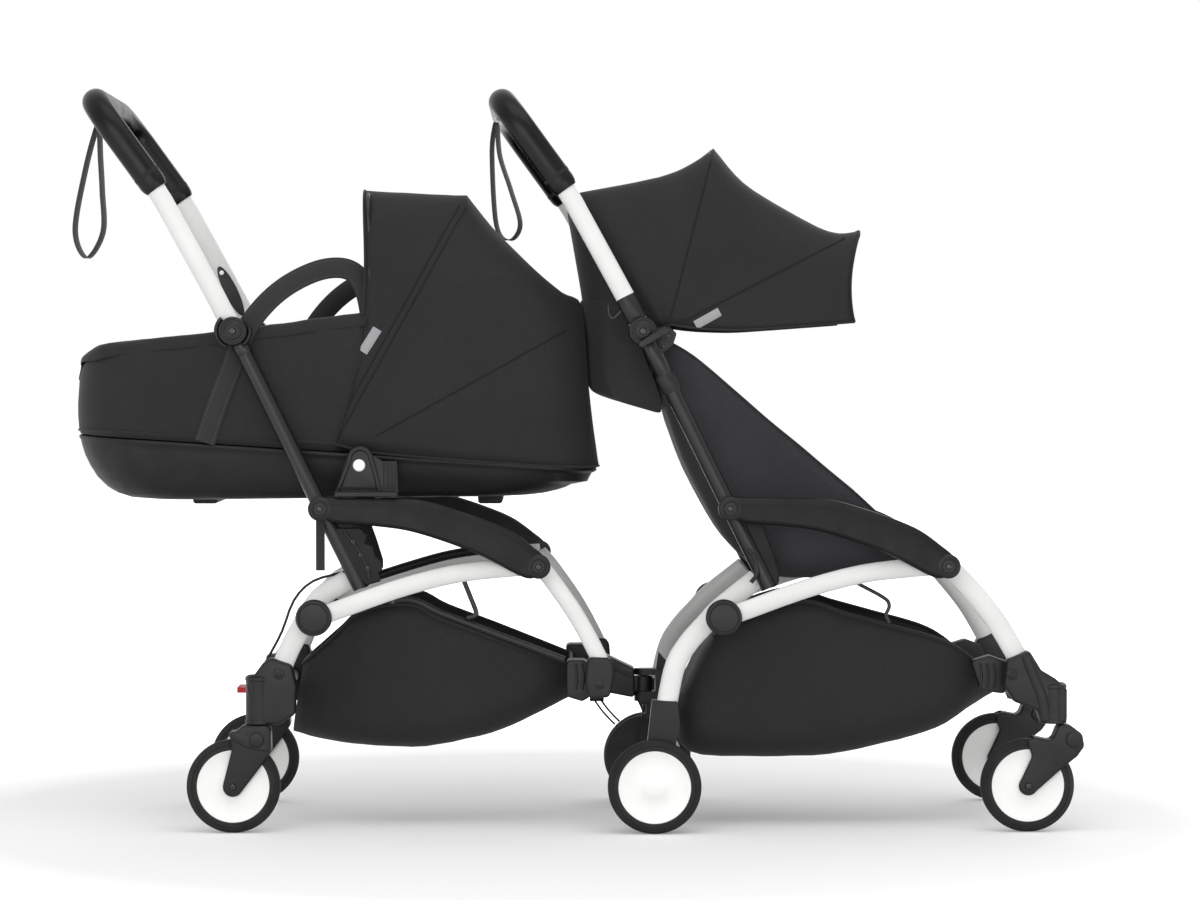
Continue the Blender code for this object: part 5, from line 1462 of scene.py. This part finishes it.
def plan_ring(x0, x1, half, corner, height, head_half=None, split=None):
    """A rounded rectangle seen from above; height is a function of x, and the half width changes at split."""
    steps, change = 10, 0.012
    ring = []
    for sx, sy, start in ((1, 1, 0), (-1, 1, 90), (-1, -1, 180), (1, -1, 270)):
        middle = Vector(((x1 - corner) if sx > 0 else (x0 + corner), sy * (half - corner)))
        for i in range(steps + 1):
            angle = math.radians(start + 90 * i / steps)
            ring.append(middle + corner * Vector((math.cos(angle), math.sin(angle))))
    found = []
    straights = (36, 14, 36, 14)
    for i, (here, after) in enumerate(zip(ring, ring[1:] + ring[:1])):
        count = straights[(i + 1) // (steps + 1) - 1] if (i + 1) % (steps + 1) == 0 else 1
        for k in range(count):
            p = here.lerp(after, k / count)
            scale = 1.0
            if split is not None:
                scale = 1 + (head_half / half - 1) * clamped((p.x - split) / change)
            found.append(Vector((p.x + SEAT_X, p.y * scale, height(p.x))))
    return found


def slope(x0, z0, x1, z1):
    """A height that runs straight from one end to the other."""
    return lambda x: z0 + (z1 - z0) * (x - x0) / (x1 - x0)


# The tub's rim slopes down from the foot end to the head end
rim_height = slope(-0.711, 0.552, 0.027, 0.504)


def below_rim(drop):
    """A height that follows the rim, this far below it."""
    return lambda x: rim_height(x) - drop


def mattress():
    """The foam mattress in its cloth cover: filled by simulation, with a corded edge sewn round it."""
    levels = [(0.4725, 0.016), (0.476, 0.004), (0.485, 0.0), (0.495, 0.003), (0.501, 0.014), (0.504, 0.04)]
    rings = []
    for z, inset in levels:
        ring = plan_ring(-0.652 + inset, -0.054 - inset, 0.13 - inset, 0.078 - inset * 0.6, lambda x: z)
        rings.append([p + Vector((0, 0, (z - 0.4725) * 0.1)) for p in ring])
    pad = loft("carrycot_mattress", rings, BAG_CLOTH, sharp=60)
    settled(pad, 0.006, 0.006)
    placed(pad, "carrycot", slot="grey_fabric")
    edge = plan_ring(-0.653, -0.053, 0.131, 0.078, lambda x: 0.4955)
    piping("mattress_piping", edge, "carrycot", loop=True, slot="grey_fabric")


def carrycot_tub():
    """The moulded tub, from its flat bottom out to the rim and down again inside, with its two feet."""
    levels = [
        (-0.606, -0.08, 0.118, slope(-0.606, 0.46, -0.08, 0.4655)),
        (-0.64, -0.066, 0.136, slope(-0.64, 0.463, -0.066, 0.4665)),
        (-0.658, -0.05, 0.144, slope(-0.658, 0.469, -0.05, 0.4685)),
        (-0.672, -0.035, 0.15, slope(-0.672, 0.478, -0.035, 0.472)),
        (-0.686, -0.021, 0.1555, slope(-0.686, 0.492, -0.021, 0.4765)),
        (-0.696, -0.008, 0.16, slope(-0.696, 0.508, -0.008, 0.483)),
        (-0.703, 0.004, 0.1638, slope(-0.703, 0.523, 0.004, 0.489)),
        (-0.707, 0.012, 0.166, slope(-0.707, 0.536, 0.012, 0.495)),
        (-0.7093, 0.02, 0.1674, below_rim(0.006)),
        (-0.711, 0.0225, 0.169, below_rim(0.0045)),
        (-0.711, 0.023, 0.169, below_rim(0.001)),
        (-0.7095, 0.022, 0.168, rim_height),
        (-0.707, 0.02, 0.1655, rim_height),
        (-0.704, 0.01, 0.1625, below_rim(0.02)),
        (-0.666, -0.038, 0.146, slope(-0.666, 0.482, -0.038, 0.476)),
        (-0.636, -0.07, 0.133, slope(-0.636, 0.4665, -0.07, 0.47)),
    ]
    rings = [plan_ring(x0, x1, half, half * 0.62, z) for x0, x1, half, z in levels]
    loft("carrycot_moulded_tub", rings, TUB_PLASTIC, "carrycot", "carrycot_tub", sharp=50)
    for label, x in (("foot", -0.55), ("head", -0.146)):
        outline = [(x, 0.468), (x + 0.001, 0.4555), (x + 0.004, 0.4535)]
        outline += [(x + 0.032, 0.4535), (x + 0.035, 0.4555), (x + 0.036, 0.468)]
        size = (0.16, 0.001)
        moulding(f"carrycot_runner_{label}", outline, 0, 0, size, "carrycot", SEAT_X, TUB_PLASTIC)


APRON_KEEL = [(-0.708, 0.652), (-0.702, 0.6625), (-0.68, 0.6765), (-0.651, 0.6825), (-0.6, 0.688)]
APRON_KEEL += [(-0.525, 0.6955), (-0.47, 0.702), (-0.4, 0.7115), (-0.364, 0.7165), (-0.297, 0.7245)]


def apron_height(x):
    """The top line of the apron, from the foot end up to the hood."""
    for (x0, z0), (x1, z1) in zip(APRON_KEEL, APRON_KEEL[1:]):
        if x < x1:
            break
    return z0 + (z1 - z0) * share_of(x, x0, x1)


def hood_line(z):
    """The straight line from the hood's foot to its front tip."""
    return -0.344 + 0.113 * (z - 0.542)


def hood_edge(z):
    """The hood's front edge: between its tip and its foot the free cloth is cut back to a hollow."""
    share = clamped((z - 0.545) / 0.351)
    return hood_line(z) + 0.0205 * math.sin(math.pi * share**0.85)


def body_top(x):
    """How high the cot's cloth wall reaches: just under the apron, and low under the hood."""
    high = apron_height(x) - 0.012
    return high + (0.59 - high) * clamped((x + 0.3) / 0.012)


def carrycot_body():
    """The cloth walls: they go in behind the hood's front edge."""

    def at(share):
        return lambda x: rim_height(x) + 0.0015 + share * (body_top(x) - rim_height(x) - 0.0015)

    levels = [
        *[(-0.7085, -0.018, 0.1672, 0.0), (-0.7105, -0.016, 0.169, 0.06), (-0.7115, -0.017, 0.1695, 0.3)],
        *[(-0.7115, -0.017, 0.1695, 0.5), (-0.7108, -0.0175, 0.1694, 0.72), (-0.71, -0.018, 0.169, 0.88)],
        *[(-0.7085, -0.0185, 0.1686, 0.96), (-0.705, -0.0195, 0.1675, 1.0)],
    ]
    rings = []
    for x0, x1, half, share in levels:
        split = hood_edge(0.53 + share * 0.178) + 0.002
        ring = plan_ring(x0, x1, half, 0.1, at(share), half - 0.019, split)
        lumps = []
        for p in ring:
            lump = noise.noise(p * 16) * 0.0016 * math.sin(math.pi * share)
            lumps.append(p + Vector((p.x + 0.355, p.y, 0)).normalized() * lump)
        rings.append(lumps)
    name, node, ends = "carrycot_cloth_walls", "carrycot_body", (False, False)
    walls = loft(name, rings, BAG_CLOTH, "carrycot", node, caps=ends, sharp=60)
    wall(walls, 0.003)
    piping("carrycot_rim_piping", rings[1], "carrycot", 0.0018, True)
    carry_loop("right", -1, 0.0)
    carry_loop("left", 1, 0.068)


def carry_loop(label, s, shift):
    """A webbing arch sewn to the cot's side at both feet."""
    line = [(-0.524, 0.542), (-0.508, 0.59), (-0.489, 0.64), (-0.462, 0.706), (-0.415, 0.757)]
    points = smooth([*line, (-0.354, 0.785), (-0.31, 0.772), (-0.292, 0.7), (-0.29, 0.574)])
    route = []
    ways = []
    for i, (x, z) in enumerate(points):
        share = clamped((x + 0.46) / 0.11)
        route.append(Vector((x + shift + SEAT_X, s * (0.171 - 0.023 * share), z)))
        ahead, behind = points[min(i + 1, len(points) - 1)], points[max(i - 1, 0)]
        run = Vector((ahead[0] - behind[0], 0, ahead[1] - behind[1])).normalized()
        ways.append(run.cross(Vector((0, 1, 0))))
    strap(f"carry_loop_webbing_{label}", route, ways, (0.029, 0.0026), STRAP_BLACK, "carrycot")


def carrycot_apron():
    """The cover over the foot end: there its flap hangs over the wall's top edge."""
    halves = [0.066, 0.108, 0.143, 0.162, 0.169, 0.1696, 0.1696, 0.1696, 0.1694, 0.1688]
    stations = [((-0.713, 0.629), (-0.7124, 0.637), 0.06)]
    for (x, z), half in zip(APRON_KEEL, halves):
        drop = min(0.02, 0.004 + (x + 0.71) * 0.55)
        stations.append(((x - 0.001, z - drop), (x, z), half))
    grid = cloth_grid(stations_between(stations, 4), 0.014, (2, 5, 20), 0.0, 0.003, SEAT_X)
    cover = cloth_over("carrycot_foot_cover", grid, BAG_CLOTH, 0.0016, "carrycot", "carrycot_apron")


HOOD = [
    ((-0.344, 0.54), (-0.304, 0.896), 0.166),
    ((-0.3, 0.529), (-0.23, 0.895), 0.168),
    ((-0.24, 0.523), (-0.16, 0.889), 0.1695),
    ((-0.18, 0.518), (-0.125, 0.847), 0.1695),
    ((-0.11, 0.513), (-0.088, 0.81), 0.168),
    ((-0.05, 0.509), (-0.055, 0.779), 0.162),
    ((-0.014, 0.5075), (-0.026, 0.756), 0.146),
    ((0.01, 0.5065), (0.002, 0.7375), 0.12),
    ((0.0215, 0.5068), (0.0078, 0.664), 0.096),
    ((0.0262, 0.5072), (0.013, 0.6), 0.074),
]


def carrycot_hood():
    """Cloth over two bows. It and what is sewn to it turn with the front bow, less and less to the rear."""
    grid = cloth_grid(stations_between(HOOD, 4, (2,)), 0.06, (16, 7, 14), 0.003, 0.0009, SEAT_X)
    for i, ring in enumerate(grid[:8]):
        for p in ring:
            p.x += (hood_edge(p.z) - hood_line(p.z)) * (1 - i / 8) ** 1.5
    cloth = cloth_over("hood_cloth", grid, HOOD_CLOTH, 0.0012, None, "carrycot_hood", (False, True))
    tag = side([(-0.304, 0.668), (-0.2935, 0.6845), (-0.2835, 0.7005)], 0, SEAT_X)
    label_tape = tape_on("hood_side_tag", cloth, tag, (0, 1, 0), (0.0135, 0.0012), TAG_GREY)
    hoop = middle_bow("hood_middle_bow", (-0.35, 0.545), (-0.16, 0.883), 0.16)
    edge = [(hood_edge(z) + 0.006, z) for z in (0.556, 0.6, 0.65, 0.7, 0.75, 0.8, 0.85, 0.889)]
    radii = [0.3] * 6 + [0.035] * 2 + [0.3] * 6
    route = fillet([*side(edge, -0.1625, SEAT_X), *side(edge[::-1], 0.1625, SEAT_X)], radii)
    swept("hood_edge_bow", even(route, 90), (0.006, 0.006), BLACK_COAT, "hood", "hood_front_bow", sides=12)
    low, high = Vector((-0.3445, 0.548)), Vector((-0.157, 0.885))
    wide = Vector((0.0042, -0.0024))
    seams = [("casing_back", low + wide, high + wide), ("casing_front", low - wide, high - wide)]
    seams.append(("rear", Vector((-0.2886, 0.5495)), Vector((-0.01, 0.704))))
    start, end = (0.006 + SEAT_X, 0, 0.62), (-0.31 + SEAT_X, 0, 0.7)
    ends = {"front": grid[0]}
    for obj in (cloth, label_tape, hoop, *sewn_on(cloth, "hood", grid, seams, 40, (0.01, 0.95), ends)):
        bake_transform(obj, "carrycot", "hood", start, end)


def build():
    """The studio, the kept CAD nodes, both frames and the soft goods."""
    studio()
    for name in ("seat_rear_axle_beam", "carrycot_cradle", "brake_cable_pair", "brake_cable_loop"):
        kept_node(name, BLACK_NYLON, 0 if "cable" in name else 0.0012)
    kept_node("brake_pedal", RED_NYLON)
    kept_node("canopy_front_bow", BLACK_COAT, 0)
    for unit in SHIFT:
        chassis(unit)
    for unit in SHIFT:
        wrist_strap(unit)
    wheels()
    casters()
    hitch()
    wheel_guards()
    cradle_details()
    right_side_details()
    rear_unit_rails()
    for label, s in SIDES.items():
        arm_collar(label, s)
    sling()
    harness(*seat_pad())
    front_roll()
    rear_pocket()
    canopy()
    for unit in SHIFT:
        basket(unit)
    carrycot_tub()
    mattress()
    carrycot_body()
    carrycot_apron()
    carrycot_hood()


build()
